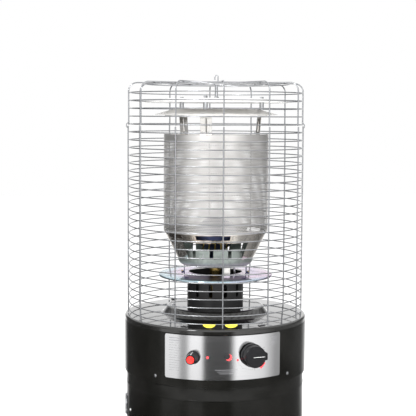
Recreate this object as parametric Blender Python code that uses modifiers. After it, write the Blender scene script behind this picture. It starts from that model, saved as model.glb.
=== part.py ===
"""Round gas area heater: black drum for a gas bottle, control ring, burner, emitter and wire guard.

Metres, +Z up. The origin is on the floor under the heater's axis and the front faces -Y.
Angles round the axis are in degrees from the front, positive towards +X.
"""
import math

import bmesh
import bpy
from mathutils import Matrix, Vector

# ---- driving dimensions -------------------------------------------------------------------------
FOOT_HEIGHT = 0.018
TRAY_RIM_TOP = 0.060
DRUM_RADIUS = 0.2340
DRUM_TOP = 0.5795
SHEET = 0.0012
COLLAR_TOP = 0.640
RING_RADIUS = 0.2390
RING_BOTTOM = 0.613
RING_TOP = 0.7480
PLATE_FLAT_Z = 0.762
PLATE_RAISED_Z = 0.783
PLATE_RAISED_RADIUS = 0.124
GAP = 0.0003

PANEL_HALF_ANGLE = 36.7
PANEL_BOTTOM = 0.636
PANEL_TOP = 0.746
PANEL_OUTER = RING_RADIUS + GAP + 0.0008
KNOB_ANGLE = 15.8
KNOB_Z = 0.6975
KNOB_BASE = 0.2452
KNOB_DEPTH = 0.0290
KNOB_FACE_RADIUS = 0.0268
IGNITER_ANGLE = -18.3
IGNITER_Z = 0.6932
SIGHT_ANGLE = 1.25
SIGHT_Z = 0.6957

HINGE_RADIUS = 0.2365
HINGE_HEIGHT = 0.054
HINGE_ZS = {"upper": 0.5180, "lower": 0.1200}

NECK_RADIUS = 0.074
SHIELD_RADIUS = 0.150
SHIELD_HOLE = 0.0704
SHIELD_Z = 0.8710
POT_BOTTOM = 0.890
POT_TOP = 0.940
POT_RADIUS = 0.099
BOWL_BOTTOM = 0.912
BOWL_TOP = 0.980
BOWL_WINDOWS = (
    (0.9050, 0.9585, -6.0, 42.0),
    (0.9670, 0.9785, -8.7, 19.3),
    (0.9670, 0.9785, -58.5, 12.0),
)
POT_SLOTS = 13
POT_SLOT_START = -11.7
EMITTER_RADIUS = 0.1372
EMITTER_TOP = 1.2325
STRAP_ANGLES = (-18.2, 101.8, 221.8)
LOWER_REFLECTOR_RADIUS = 0.161
LOWER_REFLECTOR_Z = 1.2843
UPPER_REFLECTOR_RADIUS = 0.1886
UPPER_REFLECTOR_Z = 1.3163
SPACER_RADIUS = 0.126
SPACER_TUBE_RADIUS = 0.0058

GUARD_RADIUS = 0.2300
GUARD_FOOT_Z = 0.7635
GUARD_JOINT_Z = 1.2555
GUARD_TOP = 1.366
GUARD_WIRE = 0.0036
GUARD_BEND = 0.022
GUARD_WIRES = 12

# ---- scene and helpers --------------------------------------------------------------------------
for old in list(bpy.data.objects):
    bpy.data.objects.remove(old, do_unlink=True)

PARTS = bpy.data.collections.new("gas_area_heater")
CUTTERS = bpy.data.collections.new("cutters")
bpy.context.scene.collection.children.link(PARTS)
bpy.context.scene.collection.children.link(CUTTERS)

FINISHES = {
    "black_gloss": ((0.012, 0.012, 0.014), 0.18, 0.0),
    "black_satin": ((0.020, 0.020, 0.022), 0.45, 0.0),
    "black_plastic": ((0.015, 0.015, 0.016), 0.30, 0.0),
    "rubber": ((0.025, 0.025, 0.025), 0.80, 0.0),
    "chrome": ((0.85, 0.86, 0.88), 0.12, 1.0),
    "stainless": ((0.62, 0.61, 0.59), 0.32, 1.0),
    "brushed": ((0.70, 0.70, 0.70), 0.30, 1.0),
    "tinted": ((0.72, 0.68, 0.80), 0.12, 1.0),
    "galvanised": ((0.42, 0.45, 0.44), 0.45, 1.0),
    "brass": ((0.75, 0.56, 0.20), 0.28, 1.0),
    "copper": ((0.72, 0.38, 0.22), 0.30, 1.0),
    "ceramic": ((0.92, 0.91, 0.88), 0.40, 0.0),
    "red": ((0.90, 0.06, 0.04), 0.35, 0.0),
    "yellow": ((0.80, 0.66, 0.06), 0.35, 0.0),
    "blue_steel": ((0.08, 0.10, 0.20), 0.35, 1.0),
}


def material(name, finish):
    colour, roughness, metallic = FINISHES[finish]
    made = bpy.data.materials.new(name)
    made.use_nodes = True
    shader = made.node_tree.nodes["Principled BSDF"]
    shader.inputs["Base Color"].default_value = (*colour, 1.0)
    shader.inputs["Roughness"].default_value = roughness
    shader.inputs["Metallic"].default_value = metallic
    return made


def add(name, data, finish=None, parent=None):
    """An object in the parts collection, or in the cutters' when it has no finish."""
    made = bpy.data.objects.new(name, data)
    if finish:
        PARTS.objects.link(made)
        data.materials.clear()
        data.materials.append(material(name, finish))
    else:
        CUTTERS.objects.link(made)
        made.hide_render = True
        made.display_type = "WIRE"
    made.parent = parent
    return made


def polar(radius, angle, z):
    turn = math.radians(angle)
    return Vector((radius * math.sin(turn), -radius * math.cos(turn), z))


def radial_empty(name, angle, z, radius=0.0):
    """An empty whose +Z points out from the heater's axis and whose +Y points up."""
    made = bpy.data.objects.new(name, None)
    PARTS.objects.link(made)
    made.location = polar(radius, angle, z)
    made.rotation_euler = (math.pi / 2, 0.0, math.radians(angle))
    return made


def mesh_of(work, name):
    mesh = bpy.data.meshes.new(name)
    work.to_mesh(mesh)
    work.free()
    return mesh


def smooth(mesh, angle=35.0):
    mesh.shade_smooth()
    mesh.set_sharp_from_angle(angle=math.radians(angle))


def turned(name, profile, finish, steps=48, closed=False, turn=360.0, sheet=0.0, parent=None):
    """A profile of (radius, z) points turned round +Z; sheet is the wall inside an open profile."""
    work = bmesh.new()
    points = [work.verts.new((radius, 0.0, z)) for radius, z in profile]
    for first, second in zip(points, points[1:]):
        work.edges.new((first, second))
    if closed:
        work.edges.new((points[-1], points[0]))
    made = add(name, mesh_of(work, name), finish, parent)
    screw = made.modifiers.new("Screw", "SCREW")
    screw.axis = "Z"
    screw.angle = math.radians(turn)
    screw.steps = steps
    screw.render_steps = steps
    screw.use_merge_vertices = True
    screw.merge_threshold = 0.00005
    screw.use_smooth_shade = True
    if sheet:
        wall = made.modifiers.new("Solidify", "SOLIDIFY")
        wall.thickness = sheet
        wall.offset = -1.0
        wall.use_even_offset = True
    return made


def cylinder(name, radius, low, high, finish=None, segments=24, parent=None, top_radius=None):
    """A round bar along +Z from low to high, tapering to top_radius if that is given."""
    work = bmesh.new()
    bmesh.ops.create_cone(work, cap_ends=True, segments=segments, radius1=radius,
                          radius2=radius if top_radius is None else top_radius, depth=high - low)
    bmesh.ops.translate(work, verts=work.verts, vec=(0.0, 0.0, (low + high) / 2))
    mesh = mesh_of(work, name)
    smooth(mesh)
    return add(name, mesh, finish, parent)


def block(name, low, high, finish=None, parent=None, bevel=0.0):
    """A box between two corners, with rounded edges if bevel is given."""
    work = bmesh.new()
    bmesh.ops.create_cube(work, size=1.0)
    size = [b - a for a, b in zip(low, high)]
    middle = [(a + b) / 2 for a, b in zip(low, high)]
    bmesh.ops.scale(work, verts=work.verts, vec=size)
    bmesh.ops.translate(work, verts=work.verts, vec=middle)
    made = add(name, mesh_of(work, name), finish, parent)
    if bevel:
        rounding = made.modifiers.new("Bevel", "BEVEL")
        rounding.width = bevel
        rounding.segments = 2
    return made


def tube(name, points, radius, finish, resolution=2):
    """A round bar along a polyline, as a curve with filled caps."""
    curve = bpy.data.curves.new(name, "CURVE")
    curve.dimensions = "3D"
    curve.bevel_depth = radius
    curve.bevel_resolution = resolution
    curve.use_fill_caps = True
    line = curve.splines.new("POLY")
    line.points.add(len(points) - 1)
    for slot, point in zip(line.points, points):
        slot.co = (*point, 1.0)
    return add(name, curve, finish)


def arc(centre, radius, start, stop, count):
    """Points (a, b) on a circle in a plane, from start to stop degrees."""
    angles = [math.radians(start + (stop - start) * step / count) for step in range(count + 1)]
    return [(centre[0] + radius * math.cos(a), centre[1] + radius * math.sin(a)) for a in angles]


def boolean(target, other, operation="DIFFERENCE"):
    change = target.modifiers.new("Boolean", "BOOLEAN")
    change.operation = operation
    change.object = other
    change.solver = "EXACT"


def slot_cutter(name, width, low, high, reach, angle):
    """A round-ended upright slot, cutting out along the radius at an angle, low and high in z."""
    half = width / 2
    outline = arc((0.0, high - half), half, 0, 180, 4) + arc((0.0, low + half), half, 180, 360, 4)
    work = bmesh.new()
    near = [work.verts.new((x, -reach[0], z)) for x, z in outline]
    face = work.faces.new(near)
    pushed = bmesh.ops.extrude_face_region(work, geom=[face])
    moved = [item for item in pushed["geom"] if isinstance(item, bmesh.types.BMVert)]
    bmesh.ops.translate(work, verts=moved, vec=(0.0, reach[0] - reach[1], 0.0))
    bmesh.ops.recalc_face_normals(work, faces=work.faces)
    bmesh.ops.rotate(work, verts=work.verts, matrix=Matrix.Rotation(math.radians(angle), 3, "Z"))
    return add(name, mesh_of(work, name))


# ---- base, feet and bottle support --------------------------------------------------------------
def build_base():
    floor = FOOT_HEIGHT + GAP
    wall = 0.0015
    rim = DRUM_RADIUS + 0.0005
    turned("base_tray", [(0.0, floor + 0.002), (rim - wall, floor + 0.002), (rim - wall, TRAY_RIM_TOP),
                         (rim, TRAY_RIM_TOP), (rim, floor + 0.004), (rim - 0.004, floor), (0.0, floor)],
           "black_gloss", steps=48)
    foot_profile = [(0.0, FOOT_HEIGHT), (0.020, FOOT_HEIGHT), (0.017, 0.002), (0.015, 0.0), (0.0, 0.0)]
    for name, angle in (("front_left", -45), ("front_right", 45), ("rear_right", 135), ("rear_left", 225)):
        foot = turned("foot_" + name, foot_profile, "rubber", steps=16)
        foot.location = polar(0.195, angle, 0.0)
    ring_low = floor + 0.002 + GAP
    turned("bottle_ring", [(0.172, ring_low), (0.172, ring_low + 0.002), (0.1665, ring_low + 0.002),
                           (0.1665, ring_low + 0.028), (0.165, ring_low + 0.028), (0.165, ring_low)][::-1],
           "black_satin", steps=24, closed=True)


# ---- drum: front shell, collar, divider, rear door with its hinges, handle and catch ------------
def curved_wall(name, start, stop, low, high, finish, steps):
    """A sheet of the drum's wall between two angles."""
    wall = turned(name, [(DRUM_RADIUS, high), (DRUM_RADIUS, low)], finish, steps=steps,
                  turn=stop - start, sheet=SHEET)
    wall.rotation_euler = (0.0, 0.0, math.radians(start - 90.0))
    return wall


def build_hinge(level, middle):
    """A butt hinge on the drum's left side: fixed leaf, moving leaf and pin on one upright axis."""
    centre = Vector((-HINGE_RADIUS, 0.0, middle))
    third = HINGE_HEIGHT / 6
    outer, bore, leaf, half = 0.0022, 0.0013, 0.001, 0.0115
    tilt = math.degrees(0.0125 / DRUM_RADIUS)
    spans = {"fixed": [(-third, third)],
             "moving": [(-3 * third, -third - GAP), (third + GAP, 3 * third)]}
    for kind, side in (("fixed", -1.0), ("moving", 1.0)):
        plate = block(f"hinge_{level}_{kind}", (0.0, -half, -3 * third), (leaf, half, 3 * third),
                      "chrome")
        mid = polar(DRUM_RADIUS + 0.0004, -90.0 - side * tilt, 0.0)
        plate.rotation_euler = (0.0, 0.0, math.pi - side * math.radians(tilt))
        plate.location = mid + Vector((0.0, 0.0, middle))
        for number, (low, high) in enumerate(spans[kind]):
            knuckle = cylinder(f"knuckle_{level}_{kind}_{number}", outer, low, high, segments=16)
            knuckle.location = centre
            boolean(plate, knuckle, "UNION")
        other = "moving" if kind == "fixed" else "fixed"
        for number, (low, high) in enumerate(spans[other]):
            gap = cylinder(f"relief_{level}_{kind}_{number}", outer + GAP, low - GAP, high + GAP,
                           segments=16)
            gap.location = centre
            boolean(plate, gap)
        drill = cylinder(f"drill_{level}_{kind}", bore, -4 * third, 4 * third, segments=16)
        drill.location = centre
        boolean(plate, drill)
    pin = cylinder(f"hinge_{level}_pin", 0.0012, -3 * third - 0.001, 3 * third + 0.001, "chrome", 16)
    pin.location = centre


def build_drum():
    base = TRAY_RIM_TOP + GAP
    hinge_side, free_side = 0.9, 0.2
    curved_wall("barrel_shell", hinge_side - 90.0, 90.0 - free_side, base, DRUM_TOP, "black_gloss", 30)
    curved_wall("rear_door", 90.0 + free_side, 270.0 - hinge_side, base + 0.001, DRUM_TOP - 0.001,
                "black_gloss", 30)
    for level, middle in HINGE_ZS.items():
        build_hinge(level, middle)
    bead = DRUM_RADIUS + 0.0008
    inner = DRUM_RADIUS - SHEET
    turned("barrel_collar", [(inner, COLLAR_TOP), (DRUM_RADIUS, COLLAR_TOP), (DRUM_RADIUS, 0.5835),
                             (bead, 0.5825), (bead, 0.5808), (DRUM_RADIUS, DRUM_TOP + GAP),
                             (inner, DRUM_TOP + GAP)], "black_gloss", steps=48, closed=True)
    turned("divider_plate", [(0.030, 0.6070), (inner - GAP, 0.6070), (inner - GAP, 0.6058),
                             (0.030, 0.6058)], "galvanised", steps=48, closed=True)
    build_handle()
    block("catch_magnet", (0.2060, -0.014, 0.310), (inner - 0.0022, 0.012, 0.350), "black_plastic",
          bevel=0.001)


def knob_front():
    """How far the knob's face reaches in front of the axis; the handle reaches as far behind it."""
    turn = math.radians(KNOB_ANGLE)
    return (KNOB_BASE + KNOB_DEPTH) * math.cos(turn) + KNOB_FACE_RADIUS * math.sin(turn)


def build_handle():
    """A bowed rod on the middle of the door, with a foot pad at each end."""
    reach = knob_front()
    rod = 0.004
    half, bend = 0.060, 0.016
    depth = reach - rod
    start = DRUM_RADIUS + GAP
    upper = arc((depth - bend, half - bend), bend, 90, 0, 5)
    lower = arc((depth - bend, bend - half), bend, 0, -90, 5)
    path = [(start, half)] + upper + lower + [(start, -half)]
    tube("door_handle", [(0.0, y, 0.330 + z) for y, z in path], rod, "chrome")


# ---- control ring, top plate and control panel --------------------------------------------------
def build_control_ring():
    wall = SHEET
    inner = RING_RADIUS - wall
    lip = DRUM_RADIUS + 0.0010
    profile = [(inner, RING_TOP), (RING_RADIUS, RING_TOP), (RING_RADIUS, RING_BOTTOM + 0.006),
               (RING_RADIUS - 0.0012, RING_BOTTOM + 0.0025), (RING_RADIUS - 0.0030, RING_BOTTOM),
               (lip, RING_BOTTOM), (lip, RING_BOTTOM + wall), (RING_RADIUS - 0.0034, RING_BOTTOM + wall),
               (inner, RING_BOTTOM + 0.006)]
    ring = turned("control_ring", profile, "black_gloss", steps=48, closed=True)
    for name, angle, z, radius in (("spindle", KNOB_ANGLE, KNOB_Z, 0.008),
                                   ("igniter", IGNITER_ANGLE, IGNITER_Z, 0.0115)):
        hole = cylinder("ring_hole_" + name, radius, 0.20, 0.27, segments=16,
                        parent=radial_empty("hole_axis_" + name, angle, z))
        boolean(ring, hole)
    return ring


def build_top_plate():
    fillet = 0.006
    shoulder = arc((RING_RADIUS - fillet, PLATE_FLAT_Z - fillet), fillet, 90, 0, 3)
    profile = [(0.060, PLATE_RAISED_Z), (PLATE_RAISED_RADIUS - 0.004, PLATE_RAISED_Z),
               (PLATE_RAISED_RADIUS + 0.001, PLATE_RAISED_Z - 0.002),
               (PLATE_RAISED_RADIUS + 0.011, PLATE_FLAT_Z + 0.003),
               (PLATE_RAISED_RADIUS + 0.017, PLATE_FLAT_Z)] + shoulder
    profile.append((RING_RADIUS, RING_TOP + GAP + 0.0002))
    turned("top_plate", profile, "black_gloss", steps=40, sheet=SHEET)


def build_panel():
    """A flat sheet with rounded corners, wrapped round the control ring."""
    radius = RING_RADIUS + GAP
    width = 2 * math.radians(PANEL_HALF_ANGLE) * radius
    height = PANEL_TOP - PANEL_BOTTOM
    work = bmesh.new()
    bmesh.ops.create_grid(work, x_segments=24, y_segments=1, size=0.5)
    bmesh.ops.scale(work, verts=work.verts, vec=(width, height, 1.0))
    corners = [v for v in work.verts if len(v.link_edges) == 2]
    bmesh.ops.bevel(work, geom=corners, offset=0.007, segments=4, profile=0.5, affect="VERTICES",
                    material=-1)
    middle = (PANEL_TOP + PANEL_BOTTOM) / 2
    for vert in work.verts:
        turn = vert.co.x / radius
        vert.co = Vector((radius * math.sin(turn), -radius * math.cos(turn), middle + vert.co.y))
    panel = add("control_panel", mesh_of(work, "control_panel"), "brushed")
    wall = panel.modifiers.new("Solidify", "SOLIDIFY")
    wall.thickness = 0.0008
    wall.offset = 1.0
    for name in ("spindle", "igniter"):
        boolean(panel, bpy.data.objects["ring_hole_" + name])


# ---- controls: knob, valve, igniter, sight plug, tilt switch, gas pipe --------------------------
def build_knob():
    """The knob and its spindle turn about one axis; the knob also pushes in along it."""
    base, depth, face = KNOB_BASE, KNOB_DEPTH, KNOB_FACE_RADIUS
    axis = radial_empty("knob_axis", KNOB_ANGLE, KNOB_Z)
    profile = [(0.0, base + depth), (face - 0.002, base + depth), (face, base + depth - 0.002),
               (face + 0.0006, base + 0.010), (0.0286, base + 0.0075), (0.0290, base), (0.0, base)]
    knob = turned("control_knob", profile, "black_plastic", steps=32, parent=axis)
    lobe = block("knob_lobe", (0.0100, -0.0095, base + 0.004), (0.0315, 0.0095, base + depth - 0.0008),
                 parent=axis, bevel=0.0030)
    boolean(knob, lobe, "UNION")
    boolean(knob, cylinder("knob_bore", 0.0043, base - 0.01, base + 0.020, segments=16, parent=axis))
    cylinder("valve_spindle", 0.0040, 0.2060, base + 0.0145, "brass", 16, axis)


def build_valve():
    axis = bpy.data.objects["knob_axis"]
    valve = block("gas_valve", (-0.016, -0.022, 0.162), (0.016, 0.022, 0.1955), "brass", axis, 0.002)
    boolean(valve, cylinder("valve_nose", 0.0110, 0.190, 0.2057, segments=20, parent=axis), "UNION")
    bracket = block("valve_bracket", (-0.030, -0.020, 0.2000), (0.030, 0.020, 0.2015), "galvanised",
                    axis)
    for side in (-1.0, 1.0):
        arm = block(f"bracket_arm_{side:+.0f}", (-0.00075, -0.020, 0.2005), (0.00075, 0.020, 0.2335),
                    parent=axis)
        arm.location = (side * 0.02925, 0.0, 0.0)
        boolean(bracket, arm, "UNION")
    boolean(bracket, cylinder("bracket_bore", 0.0114, 0.195, 0.210, segments=20, parent=axis))
    profile = [(0.0, 0.0), (0.009, 0.0), (0.009, -0.010), (0.0055, -0.012), (0.0065, -0.020),
               (0.0055, -0.022), (0.0065, -0.030), (0.0045, -0.032), (0.0, -0.032)]
    inlet = turned("gas_inlet", profile, "brass", steps=16)
    inlet.location = polar(0.178, KNOB_ANGLE, KNOB_Z - 0.022 - GAP)


def build_igniter():
    axis = radial_empty("igniter_axis", IGNITER_ANGLE, IGNITER_Z)
    start = PANEL_OUTER + GAP
    front = start + 0.034
    bore = 0.0097
    bezel = [(bore, front), (0.0114, front), (0.0122, front - 0.002), (0.0146, start + 0.008),
             (0.0166, start + 0.004), (0.0166, start), (bore, start)]
    turned("igniter_bezel", bezel, "black_plastic", steps=24, closed=True, parent=axis)
    button = [(0.0, front + 0.0015), (0.0082, front + 0.0015), (0.0093, front + 0.0005),
              (0.0093, start + 0.004), (0.0, start + 0.004)]
    turned("igniter_button", button, "red", steps=24, parent=axis)
    cylinder("igniter_body", 0.0105, 0.175, 0.2360, "black_plastic", 20, axis)
    sight = radial_empty("sight_axis", SIGHT_ANGLE, SIGHT_Z)
    plug = [(0.0, start + 0.0012), (0.0055, start + 0.0012), (0.0062, start + 0.0022),
            (0.0072, start + 0.0018), (0.0078, start), (0.0, start)]
    turned("sight_plug", plug, "black_plastic", steps=20, parent=sight)


def build_tilt_switch():
    low = 0.6070 + GAP
    block("tilt_switch", (-0.135, 0.085, low), (-0.085, 0.115, low + 0.034), "black_plastic",
          bevel=0.002)


def build_gas_pipe():
    start = polar(0.1615 - GAP, KNOB_ANGLE, KNOB_Z)
    inward = polar(0.130, KNOB_ANGLE, KNOB_Z)
    rise = polar(0.060, KNOB_ANGLE, 0.716)
    foot = Vector((0.0, 0.0, 0.735))
    points = [start, inward]
    control = (inward, rise, foot)
    for step in range(1, 9):
        t = step / 8
        points.append((1 - t) ** 2 * control[0] + 2 * t * (1 - t) * control[1] + t * t * control[2])
    points.append(Vector((0.0, 0.0, 0.7495)))
    tube("gas_pipe", points, 0.004, "copper", resolution=1)


# ---- burner: neck, brass tube, heat shield, posts, pilot parts, pot, bowl and head --------------
def build_neck():
    low = PLATE_RAISED_Z + GAP
    high = SHIELD_Z - SHEET - 0.0012
    neck = turned("burner_neck", [(NECK_RADIUS - 0.001, high), (NECK_RADIUS, high),
                                  (NECK_RADIUS, low + 0.002), (NECK_RADIUS - 0.0005, low),
                                  (NECK_RADIUS - 0.001, low)], "black_satin", steps=36, closed=True)
    for number in range(12):
        boolean(neck, slot_cutter(f"neck_slot_{number}", 0.010, 0.8105, 0.8455, (0.065, 0.080),
                                  number * 30.0 + 15.0))


def build_shield():
    rim = arc((SHIELD_RADIUS - 0.004, SHIELD_Z - 0.0085), 0.004, 80, -10, 2)
    profile = [(SHIELD_HOLE, SHIELD_Z), (SHIELD_RADIUS - 0.012, SHIELD_Z - 0.0042)] + rim
    turned("heat_shield", profile, "tinted", steps=48, sheet=0.0010)


def build_jet():
    top = POT_BOTTOM - GAP
    hexagon = 0.019
    profile = [(0.0, top), (0.0155, top), (0.0155, 0.8720), (0.0145, 0.8710), (0.0145, 0.8600),
               (0.0125, 0.8580), (0.0125, 0.7990), (hexagon, 0.7980), (hexagon, 0.7860),
               (0.0100, 0.7850), (0.0100, 0.7500), (0.0, 0.7500)]
    turned("burner_tube", profile, "brass", steps=16)


def build_posts():
    """Three folded brackets that carry the pot above the heat shield."""
    low = SHIELD_Z - 0.0005 + GAP
    high = POT_BOTTOM - GAP
    for number, angle in enumerate((-91.0, 75.0, 180.0), 1):
        frame = radial_empty(f"post_frame_{number}", angle, 0.0)
        frame.rotation_euler = (0.0, 0.0, math.radians(angle))
        post = block(f"burner_post_{number}", (-0.0070, -0.0830, low), (0.0070, -0.0815, high),
                     "blue_steel", frame)
        foot = block(f"post_foot_{number}", (-0.0070, -0.0900, low), (0.0070, -0.0820, low + 0.0015),
                     parent=frame)
        boolean(post, foot, "UNION")
        head = block(f"post_head_{number}", (-0.0070, -0.0820, high - 0.0015), (0.0070, -0.0720, high),
                     parent=frame)
        boolean(post, head, "UNION")


def build_pilot():
    """The white spark insulator with its electrode, and the thermocouple beside it."""
    block("ceramic_insulator", (0.0185, -0.0405, 0.8660), (0.0345, -0.0265, 0.8860), "ceramic",
          bevel=0.001)
    tube("spark_electrode", [(0.0265, -0.0335, 0.8655), (0.0265, -0.0335, 0.835), (0.022, -0.026, 0.815)],
         0.0011, "stainless", resolution=1)
    tube("thermocouple", [(0.0455, -0.0340, 0.888), (0.0490, -0.0320, 0.862), (0.0480, -0.0300, 0.830),
                          (0.0400, -0.0240, 0.795), (0.0380, -0.0230, 0.745)], 0.0022, "copper",
         resolution=1)


def build_pot():
    """A pressed pan with a round corner, open at the top, slotted round its wall."""
    corner = arc((POT_RADIUS - 0.018, POT_BOTTOM + 0.018), 0.018, 0, -90, 3)
    profile = [(POT_RADIUS, POT_TOP)] + corner + [(0.0, POT_BOTTOM)]
    pot = turned("burner_pot", profile, "galvanised", steps=36, sheet=SHEET)
    for number in range(POT_SLOTS):
        boolean(pot, slot_cutter(f"pot_slot_{number}", 0.010, 0.915, POT_TOP + 0.010, (0.085, 0.110),
                                 number * 360.0 / POT_SLOTS + POT_SLOT_START))


def bowl_radius(z):
    """The bowl's cone, from just outside the pot up to the emitter."""
    low_radius, high_radius = 0.1018, 0.1360
    return low_radius + (high_radius - low_radius) * (z - BOWL_BOTTOM) / (BOWL_TOP - BOWL_BOTTOM)


def build_bowl():
    """A cone of bright sheet whose windows leave slanted struts and a band below the emitter."""
    bowl = turned("burner_bowl", [(bowl_radius(z), z) for z in (BOWL_TOP, BOWL_BOTTOM)], "stainless",
                  steps=36, sheet=0.0010)
    for number in range(2):
        for part, (low, high, offset, half) in enumerate(BOWL_WINDOWS):
            middle = number * 180.0 + offset
            window = turned(f"bowl_window_{number}_{part}",
                            [(0.085, high), (0.150, high), (0.150, low), (0.085, low)][::-1], None,
                            steps=10, closed=True, turn=2 * half)
            window.rotation_euler = (0.0, 0.0, math.radians(middle - half - 90.0))
            close_ends(window)
            boolean(bowl, window)


def close_ends(partial):
    """Caps the two open ends of a part-turned closed profile."""
    bpy.context.view_layer.update()
    source = partial.evaluated_get(bpy.context.evaluated_depsgraph_get())
    mesh = bpy.data.meshes.new_from_object(source)
    work = bmesh.new()
    work.from_mesh(mesh)
    bmesh.ops.holes_fill(work, edges=work.edges, sides=0)
    bmesh.ops.recalc_face_normals(work, faces=work.faces)
    work.to_mesh(mesh)
    work.free()
    partial.modifiers.clear()
    partial.data = mesh


def build_head():
    """The domed gas outlet inside the emitter."""
    low = POT_BOTTOM + SHEET + GAP
    dome = arc((0.0, 0.955), 0.060, 90, 10, 4)
    profile = dome + [(0.060, 0.958), (0.052, 0.950), (0.020, 0.925), (0.015, low), (0.0, low)]
    turned("burner_head", profile, "stainless", steps=24)


# ---- emitter, straps, reflectors and spacers ----------------------------------------------------
def build_emitter():
    low = BOWL_TOP + GAP
    turned("emitter_screen", [(EMITTER_RADIUS, EMITTER_TOP), (EMITTER_RADIUS, low)], "stainless",
           steps=48, sheet=0.0010)
    cap = EMITTER_TOP + GAP
    turned("emitter_cap", [(0.0, cap + 0.0012), (EMITTER_RADIUS, cap + 0.0012), (EMITTER_RADIUS, cap),
                           (0.0, cap)], "stainless", steps=48)
    foot_z = cap + 0.0012 + GAP
    head_z = 1.2800
    for number, angle in enumerate(STRAP_ANGLES, 1):
        build_strap(f"emitter_strap_{number}", angle, foot_z, head_z)


def build_strap(name, angle, foot_z, head_z):
    """A bent strap: a foot on the emitter's cap, a leaning web and a head under the reflector."""
    thick, half = 0.0012, 0.0150
    low_radius, high_radius = 0.1155, 0.1195
    outline = [(low_radius - 0.012, foot_z), (low_radius + thick, foot_z),
               (high_radius + thick, head_z - thick), (high_radius + 0.012, head_z - thick),
               (high_radius + 0.012, head_z), (high_radius, head_z), (low_radius, foot_z + thick),
               (low_radius - 0.012, foot_z + thick)]
    work = bmesh.new()
    face = work.faces.new([work.verts.new((-half, -radius, z)) for radius, z in outline])
    pushed = bmesh.ops.extrude_face_region(work, geom=[face])
    moved = [item for item in pushed["geom"] if isinstance(item, bmesh.types.BMVert)]
    bmesh.ops.translate(work, verts=moved, vec=(2 * half, 0.0, 0.0))
    bmesh.ops.recalc_face_normals(work, faces=work.faces)
    strap = add(name, mesh_of(work, name), "stainless")
    strap.rotation_euler = (0.0, 0.0, math.radians(angle))


def lower_reflector_z(radius):
    """Height of the lower reflector's outer surface, a shallow cone with a flat middle."""
    return min(1.2985, LOWER_REFLECTOR_Z + (LOWER_REFLECTOR_RADIUS - radius) * 0.30)


def build_reflectors():
    profile = [(0.0, 1.2985), (0.112, 1.2985), (LOWER_REFLECTOR_RADIUS, LOWER_REFLECTOR_Z),
               (LOWER_REFLECTOR_RADIUS, LOWER_REFLECTOR_Z - SHEET)]
    ring = [(0.1340, 1.2912), (0.1340, 1.2803), (0.1000, 1.2803), (0.1000, 1.2815), (0.1328, 1.2815),
            (0.1328, 1.2914)]
    turned("lower_reflector", profile + ring + [(0.1120, 1.2973), (0.0, 1.2973)], "stainless", steps=48)
    top = UPPER_REFLECTOR_Z
    turned("upper_reflector", [(0.0, top + 0.0090), (0.134, top + 0.0090), (0.142, top + 0.0060),
                               (UPPER_REFLECTOR_RADIUS, top), (UPPER_REFLECTOR_RADIUS, top - 0.0012),
                               (0.141, top + 0.0046), (0.133, top + 0.0076), (0.0, top + 0.0076)],
           "stainless", steps=48)
    low = lower_reflector_z(SPACER_RADIUS - SPACER_TUBE_RADIUS) + GAP
    high = top + 0.0076 - GAP
    for number, angle in enumerate(STRAP_ANGLES, 1):
        spacer = cylinder(f"reflector_spacer_{number}", SPACER_TUBE_RADIUS, low, high, "chrome", 16)
        spacer.location = polar(SPACER_RADIUS, angle, 0.0)
    cylinder("centre_rod", 0.0040, top + 0.0090 + GAP, GUARD_TOP - 0.0045, "chrome", 16)


# ---- wire guard, hook and guard feet ------------------------------------------------------------
def wire_cage(name, profile, finish):
    """A cage of wires along the edges of a turned net, one upright at each guard wire."""
    work = bmesh.new()
    points = [work.verts.new((0.0, -radius, z)) for radius, z in profile]
    edges = [work.edges.new(pair) for pair in zip(points, points[1:])]
    bmesh.ops.spin(work, geom=points + edges, cent=(0, 0, 0), axis=(0, 0, 1), angle=2 * math.pi,
                   steps=GUARD_WIRES, use_merge=True, use_duplicate=False)
    bmesh.ops.remove_doubles(work, verts=work.verts, dist=0.0001)
    bmesh.ops.recalc_face_normals(work, faces=work.faces)
    cage = add(name, mesh_of(work, name), finish)
    wires = cage.modifiers.new("Wireframe", "WIREFRAME")
    wires.thickness = GUARD_WIRE
    wires.offset = 0.0
    wires.use_boundary = True
    wires.use_even_offset = False
    wires.use_replace = True
    return cage


def build_guard():
    rows = 8
    foot, joint = GUARD_FOOT_Z + GUARD_WIRE / 2, GUARD_JOINT_Z - 0.0030
    wire_cage("guard_body", [(GUARD_RADIUS, foot + (joint - foot) * row / rows)
                             for row in range(rows, -1, -1)], "chrome")
    start = GUARD_JOINT_Z + 0.0030
    bend = arc((GUARD_RADIUS - GUARD_BEND, GUARD_TOP - GUARD_BEND), GUARD_BEND, 90, 0, 2)
    profile = [(0.012, GUARD_TOP), (0.065, GUARD_TOP), (0.135, GUARD_TOP)] + bend
    profile += [(GUARD_RADIUS, start)]
    wire_cage("guard_cap", profile, "chrome")
    build_hook()
    for side, angle in (("left", -9.4), ("right", 4.0)):
        build_guard_foot("guard_foot_" + side, angle)


def build_hook():
    """A hook bolt on the middle of the cap: a round nut and a bar bent over to a short end."""
    base = GUARD_TOP + GUARD_WIRE / 2 + GAP
    rod, offset = 0.0017, 0.0042
    crown = GUARD_TOP + 0.0220 - rod - offset
    bend = arc((0.0, crown), offset, 0, 180, 8)
    path = [(offset, base)] + bend + [(-offset, crown - 0.008)]
    tube("lifting_hook", [(x, 0.0, z) for x, z in path], rod, "chrome")


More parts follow.
